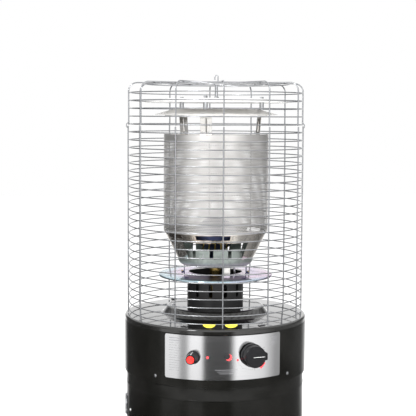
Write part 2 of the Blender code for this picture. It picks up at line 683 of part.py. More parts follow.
def build_guard_foot(name, angle):
    """A half-round lug under the guard's lowest ring, standing on the plate's rim."""
    half, drop = 0.0155, 0.0085
    top = 0.7733
    outline = [(half * math.cos(math.radians(a)), top - drop * math.sin(math.radians(a)))
               for a in range(0, 181, 20)]
    work = bmesh.new()
    near = GUARD_RADIUS + GUARD_WIRE / 2 + GAP
    face = work.faces.new([work.verts.new((x, -near, z)) for x, z in outline])
    pushed = bmesh.ops.extrude_face_region(work, geom=[face])
    moved = [item for item in pushed["geom"] if isinstance(item, bmesh.types.BMVert)]
    bmesh.ops.translate(work, verts=moved, vec=(0.0, -0.0012, 0.0))
    bmesh.ops.recalc_face_normals(work, faces=work.faces)
    lug = add(name, mesh_of(work, name), "yellow")
    lug.rotation_euler = (0.0, 0.0, math.radians(angle))


build_base()
build_drum()
build_control_ring()
build_top_plate()
build_panel()
build_knob()
build_valve()
build_igniter()
build_tilt_switch()
build_gas_pipe()
build_neck()
build_shield()
build_jet()
build_posts()
build_pilot()
build_pot()
build_bowl()
build_head()
build_emitter()
build_reflectors()
build_guard()
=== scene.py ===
import math

import bmesh
import bpy
from mathutils import Matrix, Vector


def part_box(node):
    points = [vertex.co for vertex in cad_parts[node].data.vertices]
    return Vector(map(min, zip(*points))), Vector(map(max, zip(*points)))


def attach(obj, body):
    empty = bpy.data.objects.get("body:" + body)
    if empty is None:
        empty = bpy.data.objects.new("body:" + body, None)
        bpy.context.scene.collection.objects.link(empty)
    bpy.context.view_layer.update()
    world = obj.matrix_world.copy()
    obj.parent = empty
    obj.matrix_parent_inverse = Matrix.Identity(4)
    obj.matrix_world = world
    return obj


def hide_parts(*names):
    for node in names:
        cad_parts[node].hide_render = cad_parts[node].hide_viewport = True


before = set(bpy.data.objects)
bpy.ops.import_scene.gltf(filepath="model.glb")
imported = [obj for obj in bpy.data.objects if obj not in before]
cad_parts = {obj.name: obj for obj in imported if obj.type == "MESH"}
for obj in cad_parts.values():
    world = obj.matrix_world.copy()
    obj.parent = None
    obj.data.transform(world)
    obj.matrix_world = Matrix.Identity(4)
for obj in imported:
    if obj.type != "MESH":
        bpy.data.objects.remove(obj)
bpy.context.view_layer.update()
scene = bpy.context.scene


# ---- studio --------------------------------------------------------------------------------------
# The heater stands on a pale floor in an all-white room, seen through a long lens from a little
# above the emitter. Grey and white cards stand round it, and only its bright metal shows them.
class Value:
    """A socket in a node tree. Arithmetic on it adds Math nodes."""

    def __init__(self, graph, socket):
        self.graph = graph
        self.socket = socket

    def out(self, name):
        return Value(self.graph, self.socket.node.outputs[name])

    def math(self, operation, *numbers):
        return self.graph.add("ShaderNodeMath", {"operation": operation}, dict(enumerate(numbers)))

    def __add__(self, other):
        return self.math("ADD", self, other)

    def __sub__(self, other):
        return self.math("SUBTRACT", self, other)

    def __rsub__(self, other):
        return self.math("SUBTRACT", other, self)

    def __mul__(self, other):
        return self.math("MULTIPLY", self, other)

    def __truediv__(self, other):
        return self.math("DIVIDE", self, other)

    def above(self, limit, soft):
        """0 below the limit, 1 above it, blending over a width of soft."""
        inputs = {"Value": self, "From Min": limit - soft / 2, "From Max": limit + soft / 2}
        return self.graph.add("ShaderNodeMapRange", {"interpolation_type": "SMOOTHSTEP"}, inputs)

    __radd__ = __add__
    __rmul__ = __mul__


class Graph:
    """The node tree of a finish or of the world."""

    def __init__(self, owner):
        owner.use_nodes = True
        self.tree = owner.node_tree
        self.tree.nodes.clear()

    def add(self, kind, settings=None, inputs=None, output=0):
        node = self.tree.nodes.new(kind)
        for name, value in (settings or {}).items():
            if name == "stops":
                node.color_ramp.elements.remove(node.color_ramp.elements[1])
                node.color_ramp.elements[0].position, node.color_ramp.elements[0].color = value[0]
                for position, colour in value[1:]:
                    node.color_ramp.elements.new(position).color = colour
            else:
                setattr(node, name, value)
        for name, value in (inputs or {}).items():
            if isinstance(value, Value):
                self.tree.links.new(value.socket, node.inputs[name])
            else:
                node.inputs[name].default_value = value
        return Value(self, node.outputs[output]) if len(node.outputs) else None

    def mix(self, factor, first, second):
        return self.add("ShaderNodeMix", {"data_type": "RGBA"}, {0: factor, 6: first, 7: second}, 2)


def grey(level):
    return (level, level, level, 1.0)


HEADING = 5.4
CARDS = ((-180, 1.00), (-160, 1.00), (-149, 0.12), (-92, 0.06), (-74, 0.30), (-69, 0.95), (-47, 0.95),
         (-43, 0.40), (-36, 0.40), (-31, 1.10), (-17, 1.10), (-13, 0.050), (19, 0.040), (26, 1.20),
         (62, 0.90), (80, 0.35), (140, 0.25), (160, 1.00), (180, 1.00))
UPPER_CARDS = ((-180, 1.00), (-165, 1.00), (-150, 0.12), (-100, 0.10), (-77, 0.22), (-66, 0.42),
               (-52, 1.00), (0, 1.35), (42, 1.20), (56, 0.65), (70, 0.35), (95, 0.40), (115, 0.18),
               (150, 0.15), (165, 1.00), (180, 1.00))


def light_the_room():
    """White for the eye and for dull surfaces; the cards, by compass heading, for shiny ones."""
    world = bpy.data.worlds.new("white_room")
    scene.world = world
    graph = Graph(world)
    way = graph.add("ShaderNodeSeparateXYZ", {}, {0: graph.add("ShaderNodeTexCoord")})
    heading = way.math("ARCTAN2", way, way.out("Y") * -1.0) / (2 * math.pi)
    turned_heading = (heading + 0.5 + HEADING / 360).math("FRACT", heading + 0.5 + HEADING / 360)
    rows = []
    for row in (CARDS, UPPER_CARDS):
        stops = [((angle + 180) / 360, grey(level)) for angle, level in row]
        rows.append(graph.add("ShaderNodeValToRGB", {"stops": stops}, {0: turned_heading}))
    height = way.out("Z")
    cards = graph.mix(height.above(-0.115, 0.04), *rows)
    level = graph.add("ShaderNodeValToRGB", {"stops": [
        (0.0, grey(0.90)), (0.18, grey(0.90)), (0.27, grey(0.45)), (0.36, grey(0.45)), (0.375, grey(1.0)),
        (1.0, grey(1.0))]},
        {0: height * 0.5 + 0.5})
    shown = graph.add("ShaderNodeMix", {"data_type": "RGBA", "blend_type": "MULTIPLY"},
                      {0: 1.0, 6: cards, 7: level}, 2)
    ceiling = graph.mix(height.above(0.38, 0.30), shown, grey(1.0))
    ray = graph.add("ShaderNodeLightPath", output="Is Glossy Ray")
    seen = graph.mix(ray, grey(1.0), ceiling)
    light = graph.add("ShaderNodeBackground", {}, {"Color": seen, "Strength": 1.0})
    graph.add("ShaderNodeOutputWorld", {}, {"Surface": light})
    scene.view_settings.view_transform = "Standard"


def hang_lamp(name, place, aim, size, power, glossy=False):
    """An area lamp. Shiny surfaces show it only if it is glossy."""
    lamp = bpy.data.lights.new(name, "AREA")
    lamp.shape = "RECTANGLE"
    lamp.size, lamp.size_y = size
    lamp.energy = power
    made = bpy.data.objects.new(name, lamp)
    scene.collection.objects.link(made)
    made.location = place
    made.rotation_euler = (Vector(aim) - Vector(place)).to_track_quat("-Z", "Y").to_euler()
    made.visible_glossy = glossy


def set_camera():
    distance, aside, height, tilt, roll, lens = 2.76, -0.0203, 1.280, 5.0, 0.3, 90.87
    data = bpy.data.cameras.new("camera")
    data.lens = lens
    data.sensor_width = 36.0
    camera = bpy.data.objects.new("camera", data)
    scene.collection.objects.link(camera)
    camera.location = Matrix.Rotation(math.radians(-HEADING), 3, "Z") @ Vector((aside, -distance, height))
    turns = ((-HEADING, "Z"), (90.0 - tilt, "X"), (roll, "Z"))
    facing = Matrix.Identity(3)
    for angle, axis in turns:
        facing = facing @ Matrix.Rotation(math.radians(angle), 3, axis)
    camera.rotation_euler = facing.to_euler()
    scene.camera = camera


def lay_floor():
    work = bmesh.new()
    bmesh.ops.create_grid(work, x_segments=1, y_segments=1, size=14.0)
    mesh = bpy.data.meshes.new("floor")
    work.to_mesh(mesh)
    work.free()
    pale = bpy.data.materials.new("pale_floor")
    graph = Graph(pale)
    place = graph.add("ShaderNodeTexCoord", output="Object")
    mottle = graph.add("ShaderNodeTexNoise", {}, {"Vector": place, "Scale": 3.0, "Detail": 4.0})
    tone = graph.mix(mottle, grey(0.94), grey(0.98))
    surface = graph.add("ShaderNodeBsdfPrincipled", {}, {"Base Color": tone, "Roughness": 0.9,
                                                         "Specular IOR Level": 0.1,
                                                         "Emission Color": grey(1.0),
                                                         "Emission Strength": 0.12})
    graph.add("ShaderNodeOutputMaterial", {}, {"Surface": surface})
    mesh.materials.append(pale)
    made = bpy.data.objects.new("floor", mesh)
    scene.collection.objects.link(made)
    made.visible_glossy = False


set_camera()
light_the_room()
hang_lamp("lamp_over_camera", (-0.9, -2.6, 3.0), (0.0, 0.0, 1.0), (1.6, 1.0), 120.0)
hang_lamp("lamp_left", (-1.6, -2.2, 2.4), (0.0, 0.0, 0.8), (0.5, 1.2), 20.0, True)
hang_lamp("lamp_low", (0.4, -2.5, 0.95), (0.0, 0.0, 0.9), (0.8, 0.5), 60.0)
hang_lamp("lamp_right", (2.4, -1.9, 1.9), (0.0, 0.0, 0.8), (0.7, 1.6), 12.0)
hang_lamp("lamp_behind", (0.5, 2.4, 3.2), (0.0, 0.0, 0.5), (2.4, 1.2), 40.0)
lay_floor()


# ---- base tray -----------------------------------------------------------------------------------
# A shallow round pan pressed from steel sheet and enamelled black. It closes the drum's lower end,
# and the drum's wall stands on its rim.
SHEET = 0.0012
TURN_STEPS = 128


class Finish(Graph):
    """A material whose surface is one Principled shader."""

    def __init__(self, name):
        self.material = bpy.data.materials.new(name)
        super().__init__(self.material)
        self.place = self.add("ShaderNodeTexCoord", output="Object")

    def noise(self, scale, detail=3.0, stretch=None, seed=0.0):
        """A soft random pattern, scale cells a metre, drawn out along an axis by stretch."""
        place = self.place
        if stretch:
            place = self.add("ShaderNodeMapping", {}, {"Vector": place, "Scale": stretch,
                                                       "Location": (seed, seed, seed)})
        return self.add("ShaderNodeTexNoise", {}, {"Vector": place, "Scale": scale, "Detail": detail})

    def bump(self, height, distance, strength=1.0):
        return self.add("ShaderNodeBump", {}, {"Height": height, "Distance": distance,
                                               "Strength": strength})

    def shade(self, sockets):
        surface = self.add("ShaderNodeBsdfPrincipled", {}, sockets)
        self.add("ShaderNodeOutputMaterial", {}, {"Surface": surface})
        return self.material


def black_enamel():
    """Stoved gloss enamel: a deep black with a faint orange peel and a film of dust."""
    finish = Finish("black_enamel")
    peel = finish.noise(260.0, 1.0)
    film = finish.noise(9.0, 6.0)
    tone = finish.mix(film.above(0.55, 0.4), (0.0035, 0.0035, 0.0030, 1.0), (0.0075, 0.0073, 0.0066, 1.0))
    return finish.shade({"Base Color": tone, "Roughness": 0.07 + film * 0.08, "Specular IOR Level": 0.22,
                         "Normal": finish.bump(peel, 0.00004)})


def polar(radius, angle, z=0.0):
    turn = math.radians(angle)
    return Vector((radius * math.sin(turn), -radius * math.cos(turn), z))


def arc(centre, radius, start, stop, steps=6):
    """Points (r, z) on a circle, from start to stop degrees, 0 outwards and 90 upwards."""
    angles = [math.radians(start + (stop - start) * step / steps) for step in range(steps + 1)]
    return [(centre[0] + radius * math.cos(a), centre[1] + radius * math.sin(a)) for a in angles]


def spun(profile, steps=TURN_STEPS, closed=True, start=0.0, sweep=360.0):
    """A profile of (radius, z) points spun round +Z, its ends filled if it isn't a full turn."""
    work = bmesh.new()
    points = [work.verts.new(polar(radius, start, z)) for radius, z in profile]
    edges = [work.edges.new(pair) for pair in zip(points, points[1:])]
    if closed:
        edges.append(work.edges.new((points[-1], points[0])))
    full = sweep >= 360.0
    bmesh.ops.spin(work, geom=points + edges, cent=(0, 0, 0), axis=(0, 0, 1), angle=math.radians(sweep),
                   steps=steps, use_merge=full, use_duplicate=False)
    bmesh.ops.remove_doubles(work, verts=work.verts, dist=0.00001)
    if closed and not full:
        bmesh.ops.holes_fill(work, edges=work.edges, sides=0)
    bmesh.ops.recalc_face_normals(work, faces=work.faces)
    return work


def wall(line, thickness):
    """A closed outline of sheet of that thickness, the line being its outer side, drawn downwards."""
    inner = []
    for index, point in enumerate(line):
        before, after = Vector(line[max(index - 1, 0)]), Vector(line[min(index + 1, len(line) - 1)])
        here = Vector(point)
        arriving = (here - before if index else after - here).normalized()
        leaving = (after - here if index < len(line) - 1 else here - before).normalized()
        inward = Vector((arriving.y + leaving.y, -arriving.x - leaving.x)).normalized()
        stretch = max(0.5, inward.dot(Vector((arriving.y, -arriving.x))))
        inner.append(tuple(here + inward * thickness / stretch))
    return list(line) + inner[::-1]


def put(name, work, finish, body, slot, *nodes, sharp=32.0):
    """Makes the finished piece, gives it its body and hides the CAD nodes it stands for. The slot is not used.
    """
    mesh = bpy.data.meshes.new(name)
    work.to_mesh(mesh)
    work.free()
    mesh.shade_smooth()
    mesh.set_sharp_from_angle(angle=math.radians(sharp))
    mesh.materials.append(finish)
    made = bpy.data.objects.new(name, mesh)
    scene.collection.objects.link(made)
    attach(made, body)
    if nodes:
        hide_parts(*nodes)
    return made


ENAMEL = black_enamel()


def make_base_tray():
    low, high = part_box("base_tray")
    rim, floor, corner, thick = high.x, low.z, 0.006, 0.0015
    line = [(rim, high.z)] + arc((rim - corner, floor + corner), corner, 0, -90) + [(0.150, floor)]
    line += [(0.146, floor + 0.0005), (0.0, floor + 0.0005)]
    put("pressed_tray", spun(wall(line, thick)), ENAMEL, "root", "black_enamel", "base_tray")


make_base_tray()


# ---- feet ----------------------------------------------------------------------------------------
# Four moulded rubber feet, each with a ribbed side and a sunk middle that takes the screw holding
# it to the tray.
def moulded_rubber():
    finish = Finish("moulded_rubber")
    grain = finish.noise(900.0, 2.0)
    chalk = finish.noise(60.0, 4.0)
    tone = finish.mix(chalk.above(0.6, 0.3), (0.018, 0.018, 0.018, 1.0), (0.045, 0.043, 0.040, 1.0))
    return finish.shade({"Base Color": tone, "Roughness": 0.68 + chalk * 0.2, "Specular IOR Level": 0.35,
                         "Normal": finish.bump(grain, 0.00008)})


def make_feet():
    rubber = moulded_rubber()
    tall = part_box("foot_front_left")[1].z
    profile = [(0.0, tall), (0.0192, tall)] + arc((0.0192, tall - 0.0008), 0.0008, 90, 0, 3)
    for rib in range(3):
        level = tall - 0.004 - rib * 0.004
        radius = 0.0192 - rib * 0.0008
        profile += arc((radius, level), 0.0008, 60, -60, 4)
    profile += arc((0.0150, 0.0015), 0.0015, 0, -90, 4) + [(0.0080, 0.0), (0.0075, 0.004), (0.0, 0.004)]
    for name in ("front_left", "front_right", "rear_right", "rear_left"):
        low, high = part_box("foot_" + name)
        work = spun(profile, 48, closed=False)
        bmesh.ops.translate(work, verts=work.verts, vec=((low.x + high.x) / 2, (low.y + high.y) / 2, 0.0))
        put("ribbed_foot_" + name, work, rubber, "root", "rubber", "foot_" + name)


make_feet()


# ---- bottle ring ---------------------------------------------------------------------------------
# A rolled angle of painted steel on the tray's floor. The gas bottle's foot stands inside it.
def satin_black():
    """Heat-proof satin black paint, dry and a little uneven."""
    finish = Finish("satin_black")
    grain = finish.noise(700.0, 2.0)
    patch = finish.noise(26.0, 5.0)
    tone = finish.mix(patch, (0.0085, 0.0085, 0.0090, 1.0), (0.0165, 0.0165, 0.0170, 1.0))
    return finish.shade({"Base Color": tone, "Roughness": 0.30 + patch * 0.16, "IOR": 1.5,
                         "Normal": finish.bump(grain, 0.00005)})


SATIN_BLACK = satin_black()


def make_bottle_ring():
    low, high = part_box("bottle_ring")
    thick, bend, flange = 0.0015, 0.002, 0.007
    inner = high.x - flange
    line = [(inner + thick, high.z)] + arc((inner + thick + bend, low.z + bend + thick), bend, 180, 270, 4)
    line += [(high.x, low.z + thick)]
    put("rolled_bottle_ring", spun(wall(line[::-1], -thick)), SATIN_BLACK, "root", "black_satin_steel",
        "bottle_ring")


make_bottle_ring()


# ---- drum ----------------------------------------------------------------------------------------
# Front half-shell, collar and rear door are rolled from enamelled steel sheet. The collar has a
# rolled bead where it sits on the shell, and the door's louvres let air in to the bottle bay.
def make_barrel_shell():
    low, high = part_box("barrel_shell")
    radius = -low.y
    hinge_gap, free_gap, edge = 0.9, 0.2, 0.0003
    line = [(radius - edge, high.z), (radius, high.z - edge), (radius, low.z + edge), (radius - edge, low.z)]
    work = spun(wall(line, SHEET), 96, start=hinge_gap - 90.0, sweep=180.0 - hinge_gap - free_gap)
    put("rolled_front_shell", work, ENAMEL, "root", "black_enamel", "barrel_shell")


def collar_line(low, high, radius):
    """The collar's outside, from its top to the bead and the step that hold it on the shell."""
    bead = 0.0009
    line = [(radius, high), (radius, low + 0.0052)]
    line += arc((radius, low + 0.0026), bead, 60, -60, 6)
    return line + [(radius, low)]


def make_collar():
    low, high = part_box("barrel_collar")
    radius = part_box("rear_door")[1].y
    work = spun(wall(collar_line(low.z, high.z, radius), SHEET))
    put("beaded_collar", work, ENAMEL, "root", "black_enamel", "barrel_collar")


def bend(work, radius):
    """Wraps a flat piece round the heater: x runs along the wall from the front, y up, z outwards."""
    for vert in work.verts:
        flat = vert.co.copy()
        vert.co = polar(radius + flat.z, math.degrees(flat.x / radius), flat.y)


def make_rear_door():
    low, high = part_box("rear_door")
    radius, hinge_gap, free_gap = high.y, 0.9, 0.2
    width = math.radians(180.0 - hinge_gap - free_gap) * radius
    tall = high.z - low.z
    work = bmesh.new()
    bmesh.ops.create_grid(work, x_segments=96, y_segments=52, size=0.5)
    bmesh.ops.scale(work, verts=work.verts, vec=(width, tall, 1.0))
    middle = math.radians(90.0 + free_gap) * radius + width / 2
    bmesh.ops.translate(work, verts=work.verts, vec=(middle, (low.z + high.z) / 2, -SHEET))
    press_louvres(work, middle, width / 96, tall / 52)
    pushed = bmesh.ops.extrude_face_region(work, geom=work.faces[:])
    outer = [item for item in pushed["geom"] if isinstance(item, bmesh.types.BMVert)]
    bmesh.ops.translate(work, verts=outer, vec=(0.0, 0.0, SHEET))
    bmesh.ops.recalc_face_normals(work, faces=work.faces)
    bend(work, radius)
    put("louvred_rear_door", work, ENAMEL, "door", "black_enamel", "rear_door")


def press_louvres(work, middle, column, row):
    """Pushes four rows of short louvres out of the sheet on each side of the handle."""
    depth = 0.0042
    for side in (-1.0, 1.0):
        for level in range(4):
            centre = Vector((middle + side * 24 * column, 0.105 + level * 2.6 * row, 0.0))
            chosen = [face for face in work.faces if abs(face.calc_center_median().x - centre.x) < 6 * column
                      and abs(face.calc_center_median().y - centre.y) < row * 0.75]
            bmesh.ops.inset_region(work, faces=chosen, thickness=0.0030, depth=0.0, use_even_offset=True)
            verts = {vert for face in chosen for vert in face.verts}
            top = max(vert.co.y for vert in verts)
            bottom = min(vert.co.y for vert in verts)
            for vert in verts:
                rise = (top - vert.co.y) / (top - bottom)
                vert.co.z += depth * math.sin(rise * math.pi / 2)


make_barrel_shell()
make_rear_door()
make_collar()


# ---- hinges, handle and catch --------------------------------------------------------------------
# Two bright butt hinges are screwed to the drum's left side, a bowed rod is riveted to the door as
# its handle, and a magnet in a plastic block holds the door shut.
def bright_chrome():
    """Nickel-chrome plate over drawn wire: a clear mirror with a little cloud in it."""
    finish = Finish("bright_chrome")
    cloud = finish.noise(120.0, 4.0)
    tone = finish.mix(cloud, (0.60, 0.61, 0.63, 1.0), (0.76, 0.77, 0.79, 1.0))
    return finish.shade({"Base Color": tone, "Metallic": 1.0, "Roughness": 0.10 + cloud * 0.12,
                         "Normal": finish.bump(finish.noise(1500.0, 1.0), 0.00002)})


def moulded_black():
    """Black nylon or ABS with a soft moulded sheen."""
    finish = Finish("moulded_black")
    grain = finish.noise(1100.0, 2.0)
    tone = finish.mix(finish.noise(40.0, 4.0), (0.010, 0.010, 0.011, 1.0), (0.018, 0.018, 0.019, 1.0))
    return finish.shade({"Base Color": tone, "Roughness": 0.30 + grain * 0.16,
                         "Normal": finish.bump(grain, 0.00003)})


def bright_zinc():
    """White zinc plate, nearly dull."""
    finish = Finish("bright_zinc")
    cloud = finish.noise(300.0, 3.0)
    tone = finish.mix(cloud, grey(0.70), grey(0.92))
    return finish.shade({"Base Color": tone, "Metallic": 0.4, "Roughness": 0.35 + cloud * 0.15})


BRIGHT_ZINC = bright_zinc()
CHROME = bright_chrome()
MOULDED_BLACK = moulded_black()


def dress(node, finish, rounding=0.0):
    """Gives a CAD node its finish and, if asked, rounds its edges."""
    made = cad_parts[node]
    made.data.materials.clear()
    made.data.materials.append(finish)
    if rounding:
        weld = made.modifiers.new("Weld", "WELD")
        weld.merge_threshold = 0.00002
        edge = made.modifiers.new("Bevel", "BEVEL")
        edge.width = rounding
        edge.segments = 2
        edge.limit_method = "ANGLE"
        edge.angle_limit = math.radians(40.0)
    return made


def outward(angle, z, radius=0.0):
    """The place on the wall at that angle: +Z outwards, +Y up, +X to the right as one faces it."""
    face = Matrix.Rotation(math.radians(angle), 4, "Z") @ Matrix.Rotation(math.pi / 2, 4, "X")
    return Matrix.Translation(polar(radius, angle, z)) @ face


def add_screw(work, place, radius, height, across=True):
    """A pan-head screw with a cross recess, seated at the origin of place and facing its +Z."""
    profile = [(radius, 0.0)] + arc((radius - height * 0.6, height * 0.4), height * 0.6, 0, 78, 5)
    head = spun([(0.0, height)] + profile[::-1] + [(0.0, 0.0)], 20, closed=False)
    if across:
        cross = bmesh.new()
        for turn in (0.0, 90.0):
            made = bmesh.ops.create_cube(cross, size=1.0)
            bmesh.ops.scale(cross, verts=made["verts"], vec=(radius * 1.15, radius * 0.24, height * 0.9))
            bmesh.ops.rotate(cross, verts=made["verts"], matrix=Matrix.Rotation(math.radians(turn), 3, "Z"))
            bmesh.ops.translate(cross, verts=made["verts"], vec=(0.0, 0.0, height))
        head = carved(head, cross)
    bmesh.ops.transform(head, matrix=place, verts=head.verts)
    join(work, head)


def join(work, other):
    """Adds a finished shape to another, and frees it."""
    mesh = bpy.data.meshes.new("joined")
    other.to_mesh(mesh)
    other.free()
    work.from_mesh(mesh)
    bpy.data.meshes.remove(mesh)


def carved(work, tool, operation="DIFFERENCE"):
    """Cuts tool out of work, or unites the two."""
    pair = []
    for shape in (work, tool):
        mesh = bpy.data.meshes.new("carving")
        shape.to_mesh(mesh)
        shape.free()
        pair.append(bpy.data.objects.new("carving", mesh))
        scene.collection.objects.link(pair[-1])
    change = pair[0].modifiers.new("Boolean", "BOOLEAN")
    change.operation = operation
    change.object = pair[1]
    change.solver = "EXACT"
    change.use_self = True
    bpy.context.view_layer.update()
    result = bmesh.new()
    result.from_object(pair[0], bpy.context.evaluated_depsgraph_get())
    for made in pair:
        mesh = made.data
        bpy.data.objects.remove(made)
        bpy.data.meshes.remove(mesh)
    return result


def rod(path, radius, sides=12, closed_ends=True):
    """A round bar drawn along a path, its section turned to face along each bend."""
    points = [Vector(point) for point in path]
    steps = [(b - a).normalized() for a, b in zip(points, points[1:])]
    facing = [steps[0]] + [(a + b).normalized() for a, b in zip(steps, steps[1:])] + [steps[-1]]
    work = bmesh.new()
    ring = bmesh.ops.create_circle(work, segments=sides, radius=radius)["verts"]
    turn = facing[0].to_track_quat("Z", "Y").to_matrix()
    bmesh.ops.rotate(work, verts=ring, matrix=turn)
    bmesh.ops.translate(work, verts=ring, vec=points[0])
    edges = work.edges[:]
    for index in range(1, len(points)):
        pushed = bmesh.ops.extrude_edge_only(work, edges=edges)["geom"]
        ring = [item for item in pushed if isinstance(item, bmesh.types.BMVert)]
        edges = [item for item in pushed if isinstance(item, bmesh.types.BMEdge)]
        bmesh.ops.translate(work, verts=ring, vec=points[index] - points[index - 1])
        change = facing[index - 1].rotation_difference(facing[index]).to_matrix()
        bmesh.ops.rotate(work, verts=ring, cent=points[index], matrix=change)
    if closed_ends:
        bmesh.ops.holes_fill(work, edges=work.edges, sides=0)
    bmesh.ops.recalc_face_normals(work, faces=work.faces)
    return work


def make_hinges():
    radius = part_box("rear_door")[1].y + 0.0009
    for level in ("upper", "lower"):
        for part in ("fixed", "moving", "pin"):
            dress(f"hinge_{level}_{part}", CHROME, 0.0002)
        low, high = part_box(f"hinge_{level}_fixed")
        for body, angle in (("root", -86.2), ("door", -93.8)):
            work = bmesh.new()
            for share in (0.25, 0.75):
                add_screw(work, outward(angle, low.z + (high.z - low.z) * share, radius), 0.0032, 0.0016)
            put(f"hinge_screws_{level}_{body}", work, CHROME, body, "chrome_trim")
    work = bmesh.new()
    for z in (0.518, 0.492):
        add_screw(work, outward(-75.0, z, radius - 0.0010), 0.0030, 0.0016, across=False)
    put("shell_rivets", work, BRIGHT_ZINC, "root", "chrome_trim")


def make_handle():
    low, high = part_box("door_handle")
    thick = (high.x - low.x) / 2
    bow, reach, middle = 0.016, high.y - thick, (low.z + high.z) / 2
    half = (high.z - low.z) / 2 - thick
    path = [(low.y, half)] + arc((reach - bow, half - bow), bow, 90, 0, 8)
    path += arc((reach - bow, bow - half), bow, 0, -90, 8) + [(low.y, -half)]
    work = rod([(0.0, y, middle + z) for y, z in path], thick, 20)
    for side in (-1.0, 1.0):
        rose_line = [(0.0, 0.0030)] + arc((0.0082, 0.0012), 0.0018, 90, 0, 5) + [(0.0100, 0.0)]
        rose = spun(rose_line, 28, closed=False)
        bmesh.ops.transform(rose, matrix=outward(180.0, middle + side * half, low.y), verts=rose.verts)
        join(work, rose)
    put("bowed_door_handle", work, CHROME, "door", "chrome_trim", "door_handle")


make_hinges()
make_handle()
dress("catch_magnet", MOULDED_BLACK, 0.0006)


# ---- gas train inside the drum -------------------------------------------------------------------
# The divider of zinc-coated sheet carries a tilt switch. The brass valve hangs in its bracket
# behind the knob, with the ribbed hose tail below it and a copper pipe up to the burner.
def zinc_coat():
    """Hot-dip zinc: dull grey-green with a spangle."""
    finish = Finish("zinc_coat")
    spangle = finish.add("ShaderNodeTexVoronoi", {"feature": "F1"}, {"Vector": finish.place, "Scale": 170.0},
                         "Color")
    flake = finish.add("ShaderNodeSeparateColor", {}, {0: spangle})
    cloud = finish.noise(30.0, 4.0)
    level = flake * 0.45 + cloud * 0.55
    tone = finish.mix(level, (0.27, 0.31, 0.29, 1.0), (0.50, 0.55, 0.52, 1.0))
    return finish.shade({"Base Color": tone, "Metallic": 0.85, "Roughness": 0.30 + level * 0.20,
                         "Normal": finish.bump(flake, 0.00002)})


def turned_brass():
    finish = Finish("turned_brass")
    rings = finish.noise(40.0, 2.0, (1.0, 1.0, 60.0))
    stain = finish.noise(90.0, 5.0)
    tone = finish.mix(stain.above(0.5, 0.4), (0.80, 0.60, 0.22, 1.0), (0.52, 0.36, 0.12, 1.0))
    return finish.shade({"Base Color": tone, "Metallic": 1.0, "Roughness": 0.14 + stain * 0.16,
                         "Normal": finish.bump(rings, 0.00005)})


def drawn_copper():
    finish = Finish("drawn_copper")
    stain = finish.noise(70.0, 5.0)
    tone = finish.mix(stain.above(0.55, 0.4), (0.78, 0.40, 0.24, 1.0), (0.42, 0.19, 0.11, 1.0))
    return finish.shade({"Base Color": tone, "Metallic": 1.0, "Roughness": 0.20 + stain * 0.2})


ZINC = zinc_coat()
BRASS = turned_brass()
COPPER = drawn_copper()


def make_divider():
    low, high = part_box("divider_plate")
    bore, lip = 0.030, 0.0025
    line = arc((high.x - lip, high.z - lip), lip, 0, 90, 5)[::-1]
    line = [(bore, high.z)] + line[:-1] + [(high.x, high.z - lip), (high.x, low.z)]
    put("flanged_divider", spun(wall(line, high.z - low.z)), ZINC, "root", "galvanised_steel",
        "divider_plate")


def make_gas_train():
    dress("tilt_switch", MOULDED_BLACK, 0.0008)
    dress("gas_valve", BRASS, 0.0006)
    dress("valve_bracket", ZINC, 0.0004)
    low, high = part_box("gas_inlet")
    tail = [(0.0, high.z), (0.0090, high.z), (0.0090, high.z - 0.010), (0.0055, high.z - 0.012)]
    for rib in range(3):
        level = high.z - 0.014 - rib * 0.006
        tail += [(0.0052, level), (0.0065, level - 0.0042), (0.0052, level - 0.0050)]
    tail += [(0.0045, low.z), (0.0, low.z)]
    work = spun(tail, 48, closed=False)
    bmesh.ops.translate(work, verts=work.verts, vec=((low.x + high.x) / 2, (low.y + high.y) / 2, 0.0))
    put("ribbed_hose_tail", work, BRASS, "root", "brass", "gas_inlet")
    dress("igniter_body", MOULDED_BLACK)


def make_gas_pipe(knob_angle, knob_z):
    """A bent copper pipe from the valve's back to the foot of the burner tube."""
    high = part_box("gas_pipe")[1]
    start = polar(0.1612, knob_angle, knob_z)
    inward = polar(0.130, knob_angle, knob_z)
    rise, foot = polar(0.060, knob_angle, 0.716), Vector((0.0, 0.0, 0.735))
    path = [start, inward]
    for step in range(1, 17):
        t = step / 16
        path.append((1 - t) ** 2 * inward + 2 * t * (1 - t) * rise + t * t * foot)
    path.append(Vector((0.0, 0.0, high.z)))
    put("bent_gas_pipe", rod(path, 0.0040, 16), COPPER, "root", "copper", "gas_pipe")


KNOB_ANGLE = 15.8
KNOB_Z = (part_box("control_knob")[0].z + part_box("control_knob")[1].z) / 2
make_divider()
make_gas_train()
make_gas_pipe(KNOB_ANGLE, KNOB_Z)


# ---- control ring --------------------------------------------------------------------------------
# A band of enamelled sheet round the collar with its lower edge curled in. Bright pan-head screws
# near that edge hold it to the collar.
SCREW_ANGLES = (-44.0, 44.0, 136.0, 224.0)


def make_control_ring():
    low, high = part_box("control_ring")
    radius = -low.y
    curl = 0.0034
    line = [(radius - 0.0003, high.z), (radius, high.z - 0.0003)]
    line += arc((radius - curl, low.z + curl), curl, 0, -90, 8) + [(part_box("rear_door")[1].y + 0.001, low.z)]
    ring = spun(wall(line, SHEET), 160)
    holes = bmesh.new()
    for angle, z, bore in ((KNOB_ANGLE, KNOB_Z, 0.0080), (IGNITER_ANGLE, IGNITER_Z, 0.0110)):
        join(holes, drill(outward(angle, z), bore, 0.20, 0.27))
    put("curled_control_ring", carved(ring, holes), ENAMEL, "root", "black_enamel", "control_ring")
    work = bmesh.new()
    for angle in SCREW_ANGLES:
        add_screw(work, outward(angle, low.z + 0.0215, radius), 0.0042, 0.0024)
    put("ring_screws", work, CHROME, "root", "chrome_trim")


